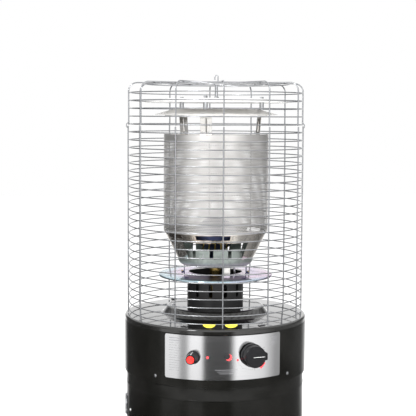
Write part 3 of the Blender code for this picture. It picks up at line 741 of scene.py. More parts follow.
def drill(place, radius, near, far, sides=40):
    """A round cutter along the place's +Z."""
    work = bmesh.new()
    bmesh.ops.create_cone(work, cap_ends=True, segments=sides, radius1=radius, radius2=radius,
                          depth=far - near)
    bmesh.ops.translate(work, verts=work.verts, vec=(0.0, 0.0, (near + far) / 2))
    bmesh.ops.transform(work, matrix=place, verts=work.verts)
    return work


IGNITER_ANGLE = -18.3
IGNITER_Z = (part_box("igniter_bezel")[0].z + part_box("igniter_bezel")[1].z) / 2
make_control_ring()


# ---- control panel -------------------------------------------------------------------------------
# A thin plate of brushed stainless steel wrapped round the ring, with rounded corners and holes for
# the spindle and the igniter. Its markings are screen-printed.
def brushed_steel():
    """Stainless steel brushed round the heater, so its highlights stand upright."""
    finish = Finish("brushed_steel")
    lines = finish.noise(1.0, 2.0, (9.0, 9.0, 2600.0))
    broad = finish.noise(1.0, 2.0, (5.0, 5.0, 420.0), 3.0)
    level = lines * 0.6 + broad * 0.4
    tone = finish.mix(level, (0.74, 0.74, 0.75, 1.0), (0.97, 0.97, 0.98, 1.0))
    return finish.shade({"Base Color": tone, "Metallic": 1.0, "Roughness": 0.10 + level * 0.10,
                         "Normal": finish.bump(lines, 0.000006, 0.5)})


def printed(name, colour):
    """Screen-printing ink, thin and slightly uneven."""
    finish = Finish(name)
    cover = finish.noise(600.0, 3.0)
    faded = tuple(part * 0.75 + 0.04 for part in colour)
    return finish.shade({"Base Color": finish.mix(cover, (*colour, 1.0), (*faded, 1.0)),
                         "Roughness": 0.42 + cover * 0.15})


def rounded_plate(width, height, corner, columns):
    """A flat sheet in the XY plane, its corners rounded."""
    work = bmesh.new()
    bmesh.ops.create_grid(work, x_segments=columns, y_segments=4, size=0.5)
    bmesh.ops.scale(work, verts=work.verts, vec=(width, height, 1.0))
    corners = [vert for vert in work.verts if len(vert.link_edges) == 2]
    bmesh.ops.bevel(work, geom=corners, offset=corner, segments=6, profile=0.5, affect="VERTICES",
                    material=-1)
    return work


def make_panel():
    low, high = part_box("control_panel")
    radius = -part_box("control_ring")[0].y + 0.0003
    width = 2 * math.asin(high.x / -low.y) * radius
    work = rounded_plate(width, high.z - low.z, 0.0065, 72)
    pushed = bmesh.ops.extrude_face_region(work, geom=work.faces[:])
    outer = [item for item in pushed["geom"] if isinstance(item, bmesh.types.BMVert)]
    bmesh.ops.translate(work, verts=outer, vec=(0.0, 0.0, 0.0008))
    bmesh.ops.recalc_face_normals(work, faces=work.faces)
    bmesh.ops.translate(work, verts=work.verts, vec=(0.0, (low.z + high.z) / 2, 0.0))
    bend(work, radius)
    holes = bmesh.new()
    for angle, z, bore in ((KNOB_ANGLE, KNOB_Z, 0.0080), (IGNITER_ANGLE, IGNITER_Z, 0.0110)):
        join(holes, drill(outward(angle, z), bore, 0.20, 0.27))
    put("brushed_panel_plate", carved(work, holes), brushed_steel(), "root", "brushed_panel",
        "control_panel")
    print_panel(radius + 0.0008, (low.z + high.z) / 2)


def patch(work, x, y, width, height, radius, sides=0, turn=0.0):
    """A printed bar, or a printed disc if it has sides, on a wall of that radius."""
    mark = bmesh.new()
    if sides:
        bmesh.ops.create_circle(mark, cap_ends=True, segments=sides, radius=width / 2)
    else:
        bmesh.ops.create_grid(mark, x_segments=2 + int(width / 0.002), y_segments=1, size=0.5)
        bmesh.ops.scale(mark, verts=mark.verts, vec=(width, height, 1.0))
    bmesh.ops.rotate(mark, verts=mark.verts, matrix=Matrix.Rotation(math.radians(turn), 3, "Z"))
    bmesh.ops.translate(mark, verts=mark.verts, vec=(x, y, 0.0002))
    bend(mark, radius)
    join(work, mark)


def print_panel(radius, middle):
    """Plain rules and a dial scale in grey, with dots and a wedge in red. There is no lettering."""
    grey_marks, red_marks = bmesh.new(), bmesh.new()
    along = math.radians(1.0) * radius
    for row in range(14):
        width = 0.030 - 0.0022 * ((row * 5) % 4)
        top = middle + 0.0460 - row * 0.0062
        patch(grey_marks, -34.0 * along + width / 2, top, width, 0.0008 if row > 1 else 0.0022, radius)
    for row in range(5):
        width = 0.022 - 0.0016 * ((row * 3) % 4)
        patch(grey_marks, 34.0 * along - width / 2, middle + 0.0460 - row * 0.0050, width, 0.0009, radius)
    for row in range(3):
        patch(grey_marks, 1.0 * along, middle - 0.0290 - row * 0.0046, 0.056 - 0.010 * row, 0.0009, radius)
    knob_x, knob_y = KNOB_ANGLE * along, KNOB_Z
    for step in range(25):
        angle = math.radians(-170.0 + step * 8.0)
        reach = 0.0375 if step % 6 else 0.0390
        patch(grey_marks, knob_x + reach * math.cos(angle), knob_y + reach * math.sin(angle),
              0.0022 if step % 6 else 0.0050, 0.0007, radius, turn=math.degrees(angle))
    patch(red_marks, -10.1 * along, SIGHT_Z - 0.0027, 0.0064, 0.0, radius, sides=24)
    patch(red_marks, 7.7 * along, SIGHT_Z - 0.0097, 0.0058, 0.0, radius, sides=24)
    patch(red_marks, SIGHT_ANGLE * along + 0.0044, SIGHT_Z - 0.0027, 0.0166, 0.0, radius, sides=40)
    for step in range(5):
        angle = math.radians(-33.0 - step * 4.5)
        patch(red_marks, knob_x + 0.0440 * math.cos(angle), knob_y + 0.0440 * math.sin(angle), 0.0070,
              0.0040, radius, turn=math.degrees(angle))
    put("printed_rules", grey_marks, printed("grey_print", (0.17, 0.17, 0.18)), "root", "brushed_panel")
    put("printed_signals", red_marks, printed("red_print", (0.70, 0.03, 0.04)), "root", "red_plastic")


SIGHT_ANGLE = 1.25
SIGHT_Z = (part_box("sight_plug")[0].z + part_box("sight_plug")[1].z) / 2
make_panel()


# ---- knob and spindle ----------------------------------------------------------------------------
# The gas knob is moulded in glossy black plastic, with a skirt, a pointer lobe on its side and a
# white line inlaid in its face. It slides on the brass spindle, which turns the valve.
def polished_black():
    """Glossy black plastic with faint handling marks."""
    finish = Finish("polished_black")
    marks = finish.noise(150.0, 6.0)
    tone = finish.mix(marks, (0.0050, 0.0050, 0.0058, 1.0), (0.0090, 0.0090, 0.0098, 1.0))
    return finish.shade({"Base Color": tone, "Roughness": 0.06 + marks * 0.08, "Specular IOR Level": 0.16})


def white_inlay():
    finish = Finish("white_inlay")
    wear = finish.noise(900.0, 3.0)
    return finish.shade({"Base Color": finish.mix(wear, grey(0.80), grey(0.62)), "Roughness": 0.5})


def rounded_block(size, rounding, segments=2):
    """A block about the origin with rounded edges."""
    work = bmesh.new()
    bmesh.ops.create_cube(work, size=1.0)
    bmesh.ops.scale(work, verts=work.verts, vec=size)
    bmesh.ops.bevel(work, geom=work.edges[:], offset=rounding, segments=segments, profile=0.5,
                    affect="EDGES", material=-1)
    return work


def make_knob():
    base, face, depth, skirt = 0.2452, 0.0268, 0.0290, 0.0290
    place = outward(KNOB_ANGLE, KNOB_Z)
    line = [(0.0, base + depth), (face - 0.0034, base + depth)]
    line += arc((face - 0.0030, base + depth - 0.0030), 0.0030, 88, 5, 8) + [(face + 0.0002, base + 0.0092)]
    line += arc((skirt - 0.0012, base + 0.0070), 0.0012, 60, 0, 4) + [(skirt, base), (0.0, base)]
    body = spun(line, 96, closed=False)
    lobe = rounded_block((0.0215, 0.0190, depth - 0.0048), 0.0032, 4)
    bmesh.ops.translate(lobe, verts=lobe.verts, vec=(0.02075, 0.0, base + 0.0040 + (depth - 0.0048) / 2))
    knob = carved(body, lobe, "UNION")
    knob = carved(knob, drill(Matrix.Identity(4), 0.0043, base - 0.01, base + 0.020))
    slot = bmesh.new()
    bmesh.ops.create_cube(slot, size=1.0)
    bmesh.ops.scale(slot, verts=slot.verts, vec=(0.0300, 0.0010, 0.0012))
    bmesh.ops.translate(slot, verts=slot.verts, vec=(0.0077, 0.0, base + depth))
    knob = carved(knob, slot)
    bmesh.ops.transform(knob, matrix=place, verts=knob.verts)
    put("moulded_gas_knob", knob, polished_black(), "knob", "black_gloss_plastic", "control_knob")
    line = bmesh.new()
    bmesh.ops.create_cube(line, size=1.0)
    bmesh.ops.scale(line, verts=line.verts, vec=(0.0296, 0.0008, 0.0004))
    bmesh.ops.translate(line, verts=line.verts, vec=(0.0077, 0.0, base + depth - 0.0004))
    bmesh.ops.transform(line, matrix=place, verts=line.verts)
    put("knob_pointer_line", line, white_inlay(), "knob", "black_gloss_plastic")
    spindle = [(0.0, 0.2597), (0.0034, 0.2597), (0.0040, 0.2591), (0.0040, 0.2060), (0.0, 0.2060)]
    work = spun(spindle, 48, closed=False)
    bmesh.ops.transform(work, matrix=place, verts=work.verts)
    put("round_spindle", work, BRASS, "valve_stem", "brass", "valve_spindle")


make_knob()


# ---- igniter and sight plug ----------------------------------------------------------------------
# The piezo igniter's threaded barrel is clamped by a tapered black bezel, and its red button is
# pressed in with a thumb. A dished black plug fills the sight hole beside it.
def glossy_red():
    finish = Finish("glossy_red")
    marks = finish.noise(200.0, 4.0)
    tone = finish.mix(marks, (0.78, 0.020, 0.014, 1.0), (0.62, 0.012, 0.010, 1.0))
    return finish.shade({"Base Color": tone, "Roughness": 0.22 + marks * 0.14,
                         "Coat Weight": 0.2, "Coat Roughness": 0.1})


def make_igniter():
    place = outward(IGNITER_ANGLE, IGNITER_Z)
    start = 0.2404
    front = start + 0.034
    bezel = [(0.0097, front - 0.0006), (0.0102, front)] + arc((0.0107, front - 0.0010), 0.0010, 90, 10, 4)
    bezel += [(0.0126, front - 0.006), (0.0144, start + 0.010)]
    bezel += arc((0.0156, start + 0.0055), 0.0010, 60, 0, 3) + [(0.0166, start + 0.0030), (0.0166, start)]
    bezel += [(0.0097, start)]
    work = spun(bezel, 72)
    bmesh.ops.transform(work, matrix=place, verts=work.verts)
    put("tapered_igniter_bezel", work, polished_black(), "root", "black_matte_plastic", "igniter_bezel")
    crown = [(0.0, front + 0.0012), (0.0056, front + 0.0009), (0.0068, front + 0.0015)]
    crown += arc((0.0081, front + 0.0003), 0.0012, 90, 0, 5)
    crown += [(0.0093, start + 0.0040), (0.0, start + 0.0040)]
    work = spun(crown, 64, closed=False)
    bmesh.ops.transform(work, matrix=place, verts=work.verts)
    put("domed_igniter_button", work, glossy_red(), "igniter_button", "red_plastic", "igniter_button")


def make_sight_plug():
    place = outward(SIGHT_ANGLE, SIGHT_Z)
    start = 0.2404
    plug = [(0.0, start + 0.0010), (0.0050, start + 0.0011)]
    plug += arc((0.0060, start + 0.0010), 0.0010, 120, 20, 5) + [(0.0078, start), (0.0, start)]
    work = spun(plug, 48, closed=False)
    bmesh.ops.transform(work, matrix=place, verts=work.verts)
    put("dished_sight_plug", work, MOULDED_BLACK, "root", "black_matte_plastic", "sight_plug")


make_igniter()
make_sight_plug()


# ---- top plate -----------------------------------------------------------------------------------
# One pressing of enamelled sheet with a raised middle. It rests on the control ring's edge and
# carries the burner. Small screws hold it, the burner's neck and the guard.
def add_hex(work, place, across, height):
    """A hexagon nut or bolt head with its corners turned off, facing the place's +Z."""
    head = bmesh.new()
    bmesh.ops.create_cone(head, cap_ends=True, segments=6, radius1=across * 0.577, radius2=across * 0.577,
                          depth=height)
    bmesh.ops.translate(head, verts=head.verts, vec=(0.0, 0.0, height / 2))
    crown = spun([(0.0, height), (across * 0.48, height), (across * 0.62, height * 0.72),
                  (across * 0.62, -height * 0.1), (0.0, -height * 0.1)], 36, closed=False)
    head = carved(head, crown, "INTERSECT")
    bmesh.ops.transform(head, matrix=place, verts=head.verts)
    join(work, head)


def wet_enamel():
    """The plate's thicker enamel: the same black under a deep clear glaze."""
    finish = Finish("wet_enamel")
    film = finish.noise(9.0, 6.0)
    tone = finish.mix(film, (0.0035, 0.0035, 0.0030, 1.0), (0.0075, 0.0073, 0.0066, 1.0))
    return finish.shade({"Base Color": tone, "Roughness": 0.05 + film * 0.04, "Coat Weight": 1.0,
                         "Coat Roughness": 0.04})


def make_top_plate():
    low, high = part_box("top_plate")
    radius, flat, raised, inner = high.x, 0.762, high.z, 0.124
    fillet = 0.006
    line = [(0.060, raised), (inner - 0.004, raised)]
    line += arc((inner - 0.004, raised - 0.0100), 0.0100, 86, 36, 6)
    line += arc((inner + 0.0220, flat + 0.0120), 0.0120, 216, 270, 6)
    line += arc((radius - fillet, flat - fillet), fillet, 90, 0, 10) + [(radius, low.z)]
    put("pressed_top_plate", spun(wall(line, SHEET), 160), wet_enamel(), "root", "black_enamel", "top_plate")
    work = bmesh.new()
    for angle in (-33.0, 33.0, 147.0, 213.0):
        add_screw(work, Matrix.Translation(polar(0.188, angle, flat)), 0.0036, 0.0022)
    for angle in (31.5, 151.5, 271.5):
        add_screw(work, Matrix.Translation(polar(0.112, angle, raised)), 0.0036, 0.0022)
    put("plate_screws", work, CHROME, "root", "chrome_trim")


make_top_plate()


# ---- burner neck ---------------------------------------------------------------------------------
# A short tube of heat-proof black steel on the plate. Its upright slots feed air to the burner,
# and through them the brass and copper inside catch the light.
def stadium(width, low, high, near, far, angle):
    """A round-ended upright cutter at an angle, between two radii."""
    work = bmesh.new()
    bmesh.ops.create_circle(work, cap_ends=True, segments=20, radius=width / 2)
    for vert in work.verts:
        vert.co.y += (low + width / 2) if vert.co.y < 0.00001 else (high - width / 2)
    pushed = bmesh.ops.extrude_face_region(work, geom=work.faces[:])
    moved = [item for item in pushed["geom"] if isinstance(item, bmesh.types.BMVert)]
    bmesh.ops.translate(work, verts=moved, vec=(0.0, 0.0, far - near))
    bmesh.ops.translate(work, verts=work.verts, vec=(0.0, 0.0, near))
    bmesh.ops.recalc_face_normals(work, faces=work.faces)
    bmesh.ops.transform(work, matrix=outward(angle, 0.0), verts=work.verts)
    return work


def make_neck():
    low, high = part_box("burner_neck")
    radius = high.x
    slots = bmesh.new()
    for number in range(12):
        join(slots, stadium(0.0100, 0.8105, 0.8455, 0.06, 0.09, number * 30.0 + 15.0))
    line = arc((radius - 0.0005, high.z - 0.0005), 0.0005, 90, 0, 2) + arc((radius - 0.0005, low.z + 0.0005),
                                                                           0.0005, 0, -90, 2)
    tube = spun(line + [(radius - 0.0010, low.z), (radius - 0.0010, high.z)], 144)
    put("slotted_neck", carved(tube, slots), SATIN_BLACK, "root", "black_satin_steel", "burner_neck")


make_neck()


# ---- heat shield ---------------------------------------------------------------------------------
# A polished stainless disc above the neck that throws heat back up. Firing has left it lilac in
# the middle and pale blue towards its rolled rim.
def heat_tinted():
    finish = Finish("heat_tinted")
    across = finish.add("ShaderNodeSeparateXYZ", {}, {0: finish.place})
    up = across.out("Y")
    radius = (across * across + up * up).math("SQRT", across * across + up * up)
    drift = finish.noise(14.0, 4.0)
    band = radius / 0.150 + (drift - 0.5) * 0.34 - across * 0.9
    tint = finish.add("ShaderNodeValToRGB", {"stops": [
        (0.00, (0.62, 0.55, 0.60, 1.0)), (0.45, (0.66, 0.56, 0.66, 1.0)), (0.62, (0.64, 0.54, 0.76, 1.0)),
        (0.78, (0.80, 0.60, 0.78, 1.0)), (0.90, (0.66, 0.68, 0.84, 1.0)), (1.00, (0.60, 0.76, 0.84, 1.0))]},
        {0: band})
    return finish.shade({"Base Color": tint, "Metallic": 1.0, "Roughness": 0.05 + drift * 0.08})


def make_heat_shield():
    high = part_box("heat_shield")[1]
    rim = high.x
    bore = 0.0704
    line = [(bore, high.z), (bore + 0.004, high.z), (rim - 0.012, high.z - 0.0042)]
    line += arc((rim - 0.0040, high.z - 0.0085), 0.0040, 72, -20, 8)
    put("polished_heat_shield", spun(wall(line, 0.0010), 160), heat_tinted(), "root", "heat_tinted_steel",
        "heat_shield")


make_heat_shield()


# ---- burner tube, posts and pilot ----------------------------------------------------------------
# The brass burner tube stands in the middle. Three blued brackets carry the pot above the shield.
# The spark electrode in its white ceramic and the copper-cased thermocouple stand beside the tube.
def blued_steel():
    finish = Finish("blued_steel")
    cloud = finish.noise(80.0, 4.0)
    tone = finish.mix(cloud, (0.05, 0.07, 0.16, 1.0), (0.10, 0.11, 0.20, 1.0))
    return finish.shade({"Base Color": tone, "Metallic": 1.0, "Roughness": 0.25 + cloud * 0.2})


def glazed_ceramic():
    finish = Finish("glazed_ceramic")
    speck = finish.noise(400.0, 5.0)
    tone = finish.mix(speck.above(0.62, 0.1), (0.92, 0.91, 0.88, 1.0), (0.74, 0.71, 0.64, 1.0))
    return finish.shade({"Base Color": tone, "Roughness": 0.30 + speck * 0.2, "Coat Weight": 0.3,
                         "Coat Roughness": 0.1})


BLUED = blued_steel()


def make_burner_tube():
    low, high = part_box("burner_tube")
    tube = [(0.0, high.z), (0.0150, high.z), (0.0155, high.z - 0.0005), (0.0155, 0.8725)]
    tube += [(0.0145, 0.8712), (0.0145, 0.8605), (0.0125, 0.8580), (0.0125, 0.7990)]
    tube += [(0.0180, 0.7982), (0.0190, 0.7970), (0.0190, 0.7872), (0.0180, 0.7860), (0.0100, 0.7850)]
    tube += [(0.0100, low.z), (0.0, low.z)]
    work = spun(tube, 64, closed=False)
    put("turned_burner_tube", work, BRASS, "root", "brass", "burner_tube")


def make_pilot():
    ceramic = glazed_ceramic()
    dress("ceramic_insulator", ceramic, 0.0016)
    for number in (1, 2, 3):
        dress(f"burner_post_{number}", BLUED, 0.0003)
    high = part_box("spark_electrode")[1]
    middle = [(a + b) / 2 for a, b in zip(*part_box("ceramic_insulator"))]
    path = [(middle[0], middle[1], high.z), (middle[0], middle[1], 0.835), (0.022, -0.026, 0.815)]
    put("spark_electrode_wire", rod(path, 0.0011, 10), CHROME, "root", "stainless", "spark_electrode")
    path = [(0.0455, -0.0340, 0.888), (0.0490, -0.0320, 0.862), (0.0480, -0.0300, 0.830),
            (0.0400, -0.0240, 0.795), (0.0380, -0.0230, 0.745)]
    put("thermocouple_probe", rod(path, 0.0022, 12), COPPER, "root", "copper", "thermocouple")
    put("thermocouple_tip", rod(path[:2], 0.0026, 12), CHROME, "root", "stainless")
    work = bmesh.new()
    for angle in (-91.0, 75.0, 180.0):
        add_screw(work, Matrix.Translation(polar(0.0875, angle, 0.8722)), 0.0028, 0.0016)
    put("post_screws", work, BRASS, "root", "brass")


make_burner_tube()
make_pilot()


# ---- pot, bowl and burner head -------------------------------------------------------------------
# The burner head sits in a zinc-coated pan with round-ended air slots. A cone of polished stainless
# flares from the pan to the emitter, with windows that leave slanted struts between two bands.
def polished_steel():
    """Mirror-polished stainless with a straw heat tint and faint ripples from pressing."""
    finish = Finish("polished_steel")
    ripple = finish.noise(38.0, 3.0)
    stain = finish.noise(11.0, 5.0)
    tone = finish.mix(stain.above(0.52, 0.30), (0.88, 0.87, 0.85, 1.0), (0.86, 0.82, 0.77, 1.0))
    return finish.shade({"Base Color": tone, "Metallic": 1.0, "Roughness": 0.06 + stain * 0.10,
                         "Normal": finish.bump(ripple, 0.0006, 0.5)})


def cone_steel_with_painted_shade():
    """The cone's sheet: polished outside, brown-black on the side that faces the axis, which is painted shade
    inside the cone.
    """
    finish = Finish("cone_steel_with_painted_shade")
    stain = finish.noise(11.0, 5.0)
    clean = finish.mix(stain.above(0.52, 0.30), (0.95, 0.90, 0.83, 1.0), (0.90, 0.76, 0.62, 1.0))
    facing = finish.add("ShaderNodeNewGeometry", output=1)
    flat = finish.add("ShaderNodeVectorMath", {"operation": "MULTIPLY"},
                      {0: finish.place, 1: (1.0, 1.0, 0.0)})
    outer = finish.add("ShaderNodeVectorMath", {"operation": "DOT_PRODUCT"}, {0: facing, 1: flat}, 1)
    # Faces that turn towards the axis get the near-black colour: this is painted shade inside the cone.
    tone = finish.mix(outer.above(0.0, 0.01), (0.045, 0.038, 0.032, 1.0), clean)
    return finish.shade({"Base Color": tone, "Metallic": 1.0, "Roughness": 0.07 + stain * 0.10,
                         "Normal": finish.bump(finish.noise(38.0, 3.0), 0.0012, 0.6)})


POLISHED = polished_steel()


def window(low, high, middle, half):
    """A cutter for a window in a turned wall, between two heights and about a middle angle."""
    return spun([(0.085, high), (0.150, high), (0.150, low), (0.085, low)], 24,
                start=middle - half, sweep=2 * half)


def make_pot():
    low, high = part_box("burner_pot")
    radius, corner = high.x, 0.018
    line = [(radius, high.z)] + arc((radius - corner, low.z + corner), corner, 0, -90, 10)
    line += [(0.060, low.z), (0.058, low.z + 0.001), (0.0, low.z + 0.001)]
    slots = bmesh.new()
    for number in range(13):
        join(slots, stadium(0.0100, 0.9150, high.z + 0.010, 0.085, 0.110, number * 360.0 / 13 - 11.7))
    pan = carved(spun(wall(line, SHEET), 144), slots)
    put("slotted_burner_pan", pan, ZINC, "root", "galvanised_steel", "burner_pot")
    work = bmesh.new()
    for angle in (-24.5, 38.3):
        seam = rounded_block((0.0026, 0.014, 0.0010), 0.0004)
        bmesh.ops.transform(seam, matrix=outward(angle, 0.9200, radius + 0.0003), verts=seam.verts)
        join(work, seam)
    put("pan_seams", work, CHROME, "root", "galvanised_steel")


def make_bowl():
    low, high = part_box("burner_bowl")
    wide, narrow = high.x, 0.1018

    def cone(z):
        return narrow + (wide - narrow) * (z - low.z) / (high.z - low.z)

    line = [(cone(high.z), high.z), (cone(0.9660), 0.9660), (cone(low.z), low.z)]
    windows = bmesh.new()
    for start in (0.0, 180.0):
        join(windows, window(low.z - 0.007, 0.9585, start - 6.0, 42.0))
        join(windows, window(0.9670, 0.9785, start - 8.7, 19.3))
        join(windows, window(0.9670, 0.9785, start - 58.5, 12.0))
    put("windowed_cone", carved(spun(wall(line, 0.0010), 144), windows), cone_steel_with_painted_shade(), "root", "stainless",
        "burner_bowl")
    work = bmesh.new()
    for angle in (-71.0, 60.0, 109.0, 240.0):
        lug = rounded_block((0.0100, 0.0120, 0.0012), 0.0004)
        bmesh.ops.transform(lug, matrix=outward(angle, high.z + 0.0005, wide + 0.0012), verts=lug.verts)
        join(work, lug)
        add_screw(work, outward(angle, high.z + 0.0005, wide + 0.0018), 0.0030, 0.0022)
    put("emitter_lugs", work, CHROME, "root", "stainless")


def make_head():
    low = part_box("burner_head")[0]
    dome = arc((0.0, 0.955), 0.060, 90, 10, 16)
    profile = dome + [(0.060, 0.958), (0.052, 0.950), (0.020, 0.925), (0.015, low.z), (0.0, low.z)]
    # The head's dark blued colour is painted shade: it stands in for the shade inside the cone, though the
    # head is stainless.
    put("domed_burner_head", spun(profile, 72, closed=False), BLUED, "root", "stainless", "burner_head")
    work = bmesh.new()
    for number in range(5):
        x = -0.040 + number * 0.016
        bar = rod([(x, -0.062, 0.934), (x * 0.92, -0.066, 0.953)], 0.0021, 10)
        join(work, bar)
    put("pilot_burner_tubes", work, BRASS, "root", "brass")


make_pot()
make_bowl()
make_head()


# ---- emitter -------------------------------------------------------------------------------------
# The emitter is a cylinder rolled from finely perforated stainless sheet, plain at its top edge.
# It glows when the gas burns under it. A disc closes its top.
def perforated_steel():
    """Heat-dulled stainless: warm grey, brushed along the roll, darker in soft patches."""
    finish = Finish("perforated_steel")
    brushed = finish.noise(1.0, 3.0, (14.0, 14.0, 160.0))
    patch_tone = finish.noise(9.0, 4.0)
    tone = finish.mix(brushed * 0.5 + patch_tone * 0.5, (0.80, 0.78, 0.76, 1.0), (0.98, 0.96, 0.94, 1.0))
    return finish.shade({"Base Color": tone, "Metallic": 0.94, "Roughness": 0.24 + patch_tone * 0.16})


PERFORATED = perforated_steel()


def honeycomb(columns, row, low, rows, radius):
    """A cylinder wall of six-sided cells. The holes in them are cut afterwards."""
    work = bmesh.new()
    width = 2 * math.pi * radius
    bmesh.ops.create_grid(work, x_segments=2 * columns, y_segments=rows, size=0.5)
    bmesh.ops.scale(work, verts=work.verts, vec=(width, rows * row, 1.0))
    bmesh.ops.translate(work, verts=work.verts, vec=(0.0, low + rows * row / 2, 0.0))
    half_cell = width / (2 * columns)
    place = {}
    for vert in work.verts:
        place[vert] = (round((vert.co.x + width / 2) / half_cell), round((vert.co.y - low) / row))
    for vert, (across, up) in place.items():
        if 0 < up < rows:
            vert.co.y += row / 6 if (across + up) % 2 == 0 else -row / 6
    spare = [edge for edge in work.edges if place[edge.verts[0]][0] == place[edge.verts[1]][0]
             and (place[edge.verts[0]][0] + min(place[vert][1] for vert in edge.verts)) % 2]
    spare = [edge for edge in spare if len(edge.link_faces) == 2]
    bmesh.ops.dissolve_edges(work, edges=spare, use_verts=False)
    bend(work, radius)
    bmesh.ops.remove_doubles(work, verts=work.verts, dist=0.00002)
    return work


def make_emitter():
    low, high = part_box("emitter_screen")
    radius, columns, band = high.x - 0.0001, 192, 0.020
    pitch = 2 * math.pi * radius / columns
    row = pitch * math.sqrt(3) / 2
    rows = int((high.z - band - low.z - 0.004) / row)
    start = high.z - band - rows * row
    work = honeycomb(columns, row, start, rows, radius)
    edges = [edge for edge in work.edges if edge.is_boundary]
    for level, end in ((start, low.z), (start + rows * row, high.z)):
        rim = [edge for edge in edges if abs(edge.verts[0].co.z - level) < 0.0001]
        pushed = bmesh.ops.extrude_edge_only(work, edges=rim)["geom"]
        for vert in pushed:
            if isinstance(vert, bmesh.types.BMVert):
                vert.co.z = end
    cells = [face for face in work.faces if start < face.calc_center_median().z < start + rows * row]
    bmesh.ops.inset_individual(work, faces=cells, thickness=pitch * 0.19, use_even_offset=True)
    bmesh.ops.delete(work, geom=cells, context="FACES_ONLY")
    bmesh.ops.recalc_face_normals(work, faces=work.faces)
    put("perforated_screen", work, PERFORATED, "root", "stainless", "emitter_screen", sharp=60.0)
    cap_low, cap_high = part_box("emitter_cap")
    lip = 0.0008
    cap = [(0.0, cap_high.z), (radius - lip, cap_high.z)]
    cap += arc((radius - lip, cap_high.z - lip), lip, 80, 0, 4) + [(radius, cap_low.z), (0.0, cap_low.z)]
    put("emitter_top_disc", spun(cap, 144, closed=False), POLISHED, "root", "stainless", "emitter_cap")


def make_straps():
    """The bent straps that carry the reflectors, with a screw through each foot."""
    bolts, ribs = bmesh.new(), bmesh.new()
    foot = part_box("emitter_cap")[1].z + 0.0015
    for number, angle in enumerate(STRAP_ANGLES, 1):
        dress(f"emitter_strap_{number}", POLISHED, 0.0003)
        add_hex(bolts, Matrix.Translation(polar(0.1085, angle, foot)), 0.0060, 0.0028)
        join(ribs, rod([polar(0.1160, angle, foot + 0.004), polar(0.1200, angle, 1.2750)], 0.0026, 10))
    put("strap_bolts", bolts, CHROME, "root", "chrome_trim")
    put("strap_ribs", ribs, POLISHED, "root", "stainless")


STRAP_ANGLES = (-18.2, 101.8, 221.8)
make_emitter()
make_straps()


# ---- reflectors ----------------------------------------------------------------------------------
# Two dished discs of polished sheet throw the heat out and down. Tubes on long bolts keep them
# apart, and a chromed rod in the middle reaches up to the guard's cap.
def reflector_sheet():
    """Bright-rolled aluminium-steel sheet: nearly white, softly streaked."""
    finish = Finish("reflector_sheet")
    streak = finish.noise(1.0, 3.0, (60.0, 4.0, 4.0))
    cloud = finish.noise(12.0, 4.0)
    tone = finish.mix(streak * 0.5 + cloud * 0.5, (0.84, 0.83, 0.81, 1.0), (0.98, 0.97, 0.95, 1.0))
    return finish.shade({"Base Color": tone, "Metallic": 0.5, "Roughness": 0.16 + cloud * 0.16})


REFLECTOR = reflector_sheet()


def make_reflectors():
    low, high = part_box("lower_reflector")
    rim_z = 1.2843
    line = [(0.0, high.z), (0.110, high.z)] + arc((0.110, high.z - 0.006), 0.006, 88, 74, 4)
    line += [(high.x - 0.0006, rim_z + 0.0003), (high.x, rim_z - 0.0004)]
    dish = wall(line, SHEET)
    put("lower_dished_reflector", spun(dish, 160), REFLECTOR, "root", "reflector_steel", "lower_reflector")
    edge, bore = 0.1340, 0.1000
    ring = [(edge, 1.2905)] + arc((edge - 0.0008, low.z + 0.0008), 0.0008, 0, -90, 4)
    ring += [(bore, low.z), (bore, low.z + SHEET), (edge - SHEET, low.z + SHEET), (edge - SHEET, 1.2905)]
    put("reflector_fixing_ring", spun(ring, 144), REFLECTOR, "root", "reflector_steel")
    low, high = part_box("upper_reflector")
    line = [(0.0, high.z), (0.133, high.z)] + arc((0.133, high.z - 0.003), 0.003, 85, 40, 4)
    line += arc((0.1450, low.z + 0.0072), 0.0030, 222, 264, 4)
    line += [(high.x - 0.0008, low.z + 0.0013), (high.x, low.z + 0.0006)]
    put("upper_dished_reflector", spun(wall(line, SHEET), 160), REFLECTOR, "root", "reflector_steel",
        "upper_reflector")


def make_spacers():
    bolts = bmesh.new()
    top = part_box("upper_reflector")[1].z
    for number, angle in enumerate(STRAP_ANGLES, 1):
        low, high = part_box(f"reflector_spacer_{number}")
        radius, lip = (high.x - low.x) / 2, 0.0004
        outline = [(0.0, high.z), (radius - lip, high.z), (radius, high.z - lip)]
        outline += [(radius, low.z + lip), (radius - lip, low.z), (0.0, low.z)]
        tube = spun(outline, 48, closed=False)
        bmesh.ops.translate(tube, verts=tube.verts, vec=polar(0.126, angle))
        put(f"spacer_tube_{number}", tube, CHROME, "root", "chrome_trim", f"reflector_spacer_{number}")
        add_hex(bolts, Matrix.Translation(polar(0.126, angle, top)), 0.0100, 0.0060)
    put("reflector_bolts", bolts, CHROME, "root", "chrome_trim")
    low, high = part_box("centre_rod")
    radius = high.x
    line = [(0.0, high.z), (radius - 0.0005, high.z), (radius, high.z - 0.0005)]
    line += [(radius, low.z), (0.0, low.z)]
    put("threaded_centre_rod", spun(line, 40, closed=False), CHROME, "root", "chrome_trim", "centre_rod")
    nut = bmesh.new()
    add_hex(nut, Matrix.Translation((0.0, 0.0, top)), 0.0130, 0.0055)
    put("centre_rod_nut", nut, CHROME, "root", "chrome_trim")


make_reflectors()
make_spacers()


# ---- wire guard ----------------------------------------------------------------------------------
# Twelve upright wires carry the rings that are welded inside them. The upper part is a separate
# cap, clipped on at the sides. All of it is drawn wire, welded and then chrome plated.
WIRES = 12
RINGS = 29
RING_LOWEST = 0.772
GUARD_TURN = -1.2


def plated_wire():
    """Chrome plate on drawn wire: dark where it turns away, bright where it meets the light."""
    finish = Finish("plated_wire")
    cloud = finish.noise(200.0, 3.0)
    tone = finish.mix(cloud, (0.42, 0.43, 0.45, 1.0), (0.66, 0.67, 0.69, 1.0))
    return finish.shade({"Base Color": tone, "Metallic": 1.0, "Roughness": 0.14 + cloud * 0.14})


PLATED = plated_wire()


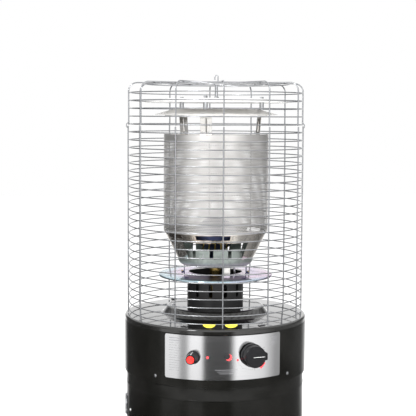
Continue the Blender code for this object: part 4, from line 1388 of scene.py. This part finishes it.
def add_hoop(work, radius, z, wire, steps=96, sides=8):
    """A ring of wire round the axis."""
    section = [(radius + wire * math.cos(2 * math.pi * side / sides),
                z + wire * math.sin(2 * math.pi * side / sides)) for side in range(sides)]
    join(work, spun(section, steps))


def make_guard_body():
    low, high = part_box("guard_body")
    radius, upright, hoop = high.x - 0.0018, 0.0018, 0.0014
    joint = high.z
    work = bmesh.new()
    for number in range(WIRES):
        foot = polar(radius, number * 30.0 + GUARD_TURN, low.z)
        join(work, rod([foot, foot + Vector((0.0, 0.0, joint - low.z))], upright, 10))
    pitch = (1.340 - RING_LOWEST) / (RINGS - 1)
    for number in range(RINGS):
        z = RING_LOWEST + number * pitch
        if z < joint:
            add_hoop(work, radius - upright - hoop * 0.8, z, hoop)
    put("round_guard_body", work, PLATED, "root", "chrome_wire", "guard_body", sharp=50.0)


def make_guard_cap():
    low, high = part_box("guard_cap")
    radius, upright, hoop, corner = 0.2285, 0.0018, 0.0014, 0.022
    top = high.z - upright
    work = bmesh.new()
    for number in range(WIRES):
        angle = number * 30.0 + GUARD_TURN
        path = [polar(radius, angle, low.z)]
        path += [polar(r, angle, z) for r, z in arc((radius - corner, top - corner), corner, 0, 90, 8)]
        path.append(polar(0.010, angle, top))
        join(work, rod(path, upright, 10))
    pitch = (1.340 - RING_LOWEST) / (RINGS - 1)
    for number in range(RINGS):
        z = RING_LOWEST + number * pitch
        if z > low.z:
            add_hoop(work, radius - upright - hoop * 0.8, z, hoop)
    for ring in (0.190, 0.125, 0.060):
        add_hoop(work, ring, top - upright - hoop * 0.8, hoop)
    hub = [(0.0, top + 0.0016), (0.0125, top + 0.0016), (0.0135, top + 0.0006), (0.0135, top - 0.0018),
           (0.0, top - 0.0018)]
    join(work, spun(hub, 40, closed=False))
    put("round_guard_cap", work, PLATED, "root", "chrome_wire", "guard_cap", sharp=50.0)


def make_guard_clips():
    """Spring clips over the joint at the sides, and the screwed clips that hold the lowest ring."""
    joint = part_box("guard_body")[1].z
    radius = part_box("guard_body")[1].x
    work = bmesh.new()
    for angle in (-90.0, 90.0):
        path = [polar(radius - 0.001, angle, joint - 0.006), polar(radius + 0.0025, angle, joint - 0.002),
                polar(radius + 0.0025, angle, joint + 0.004), polar(radius - 0.001, angle, joint + 0.008)]
        join(work, rod(path, 0.0013, 10))
    put("guard_spring_clips", work, PLATED, "root", "chrome_wire")
    clips, screws = bmesh.new(), bmesh.new()
    for angle in (-26.0, 26.0, 154.0, 206.0):
        plate = rounded_block((0.0170, 0.0100, 0.0012), 0.0005)
        seat = Matrix.Rotation(math.radians(angle), 4, "Z")
        place = seat @ Matrix.Translation((0.0, -0.2190, 0.7630))
        bmesh.ops.transform(plate, matrix=place, verts=plate.verts)
        join(clips, plate)
        for side in (-0.0050, 0.0050):
            add_screw(screws, seat @ Matrix.Translation((side, -0.2180, 0.7636)), 0.0024, 0.0016)
    put("guard_foot_clips", clips, SATIN_BLACK, "root", "black_satin_steel")
    put("guard_clip_screws", screws, CHROME, "root", "chrome_trim")


def yellow_zinc():
    """Yellow passivated zinc: a greenish gold with an oily shift."""
    finish = Finish("yellow_zinc")
    drift = finish.noise(130.0, 4.0)
    tone = finish.mix(drift, (0.84, 0.62, 0.03, 1.0), (0.66, 0.64, 0.08, 1.0))
    return finish.shade({"Base Color": tone, "Metallic": 0.35, "Roughness": 0.26 + drift * 0.2})


def make_guard_lugs():
    """Half-round lugs under the lowest ring, standing on the plate's rim."""
    finish = yellow_zinc()
    for side in ("left", "right"):
        dress("guard_foot_" + side, finish, 0.0003)


def make_hook():
    low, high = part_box("lifting_hook")
    wire = (high.y - low.y) / 2
    reach = (high.x - low.x) / 2 - wire
    crown = high.z - wire - reach
    path = [(reach, 0.0, low.z - 0.004), (reach, 0.0, crown)]
    path += [(x, 0.0, z) for x, z in arc((0.0, crown), reach, 0, 180, 12)][1:]
    path += [(-reach, 0.0, crown - 0.0080)]
    put("bent_lifting_hook", rod(path, wire, 14), CHROME, "root", "chrome_trim", "lifting_hook")
    nut = bmesh.new()
    add_hex(nut, Matrix.Translation((reach, 0.0, low.z)), 0.0070, 0.0034)
    put("lifting_hook_nut", nut, CHROME, "root", "chrome_trim")


make_guard_body()
make_guard_cap()
make_guard_clips()
make_guard_lugs()
make_hook()
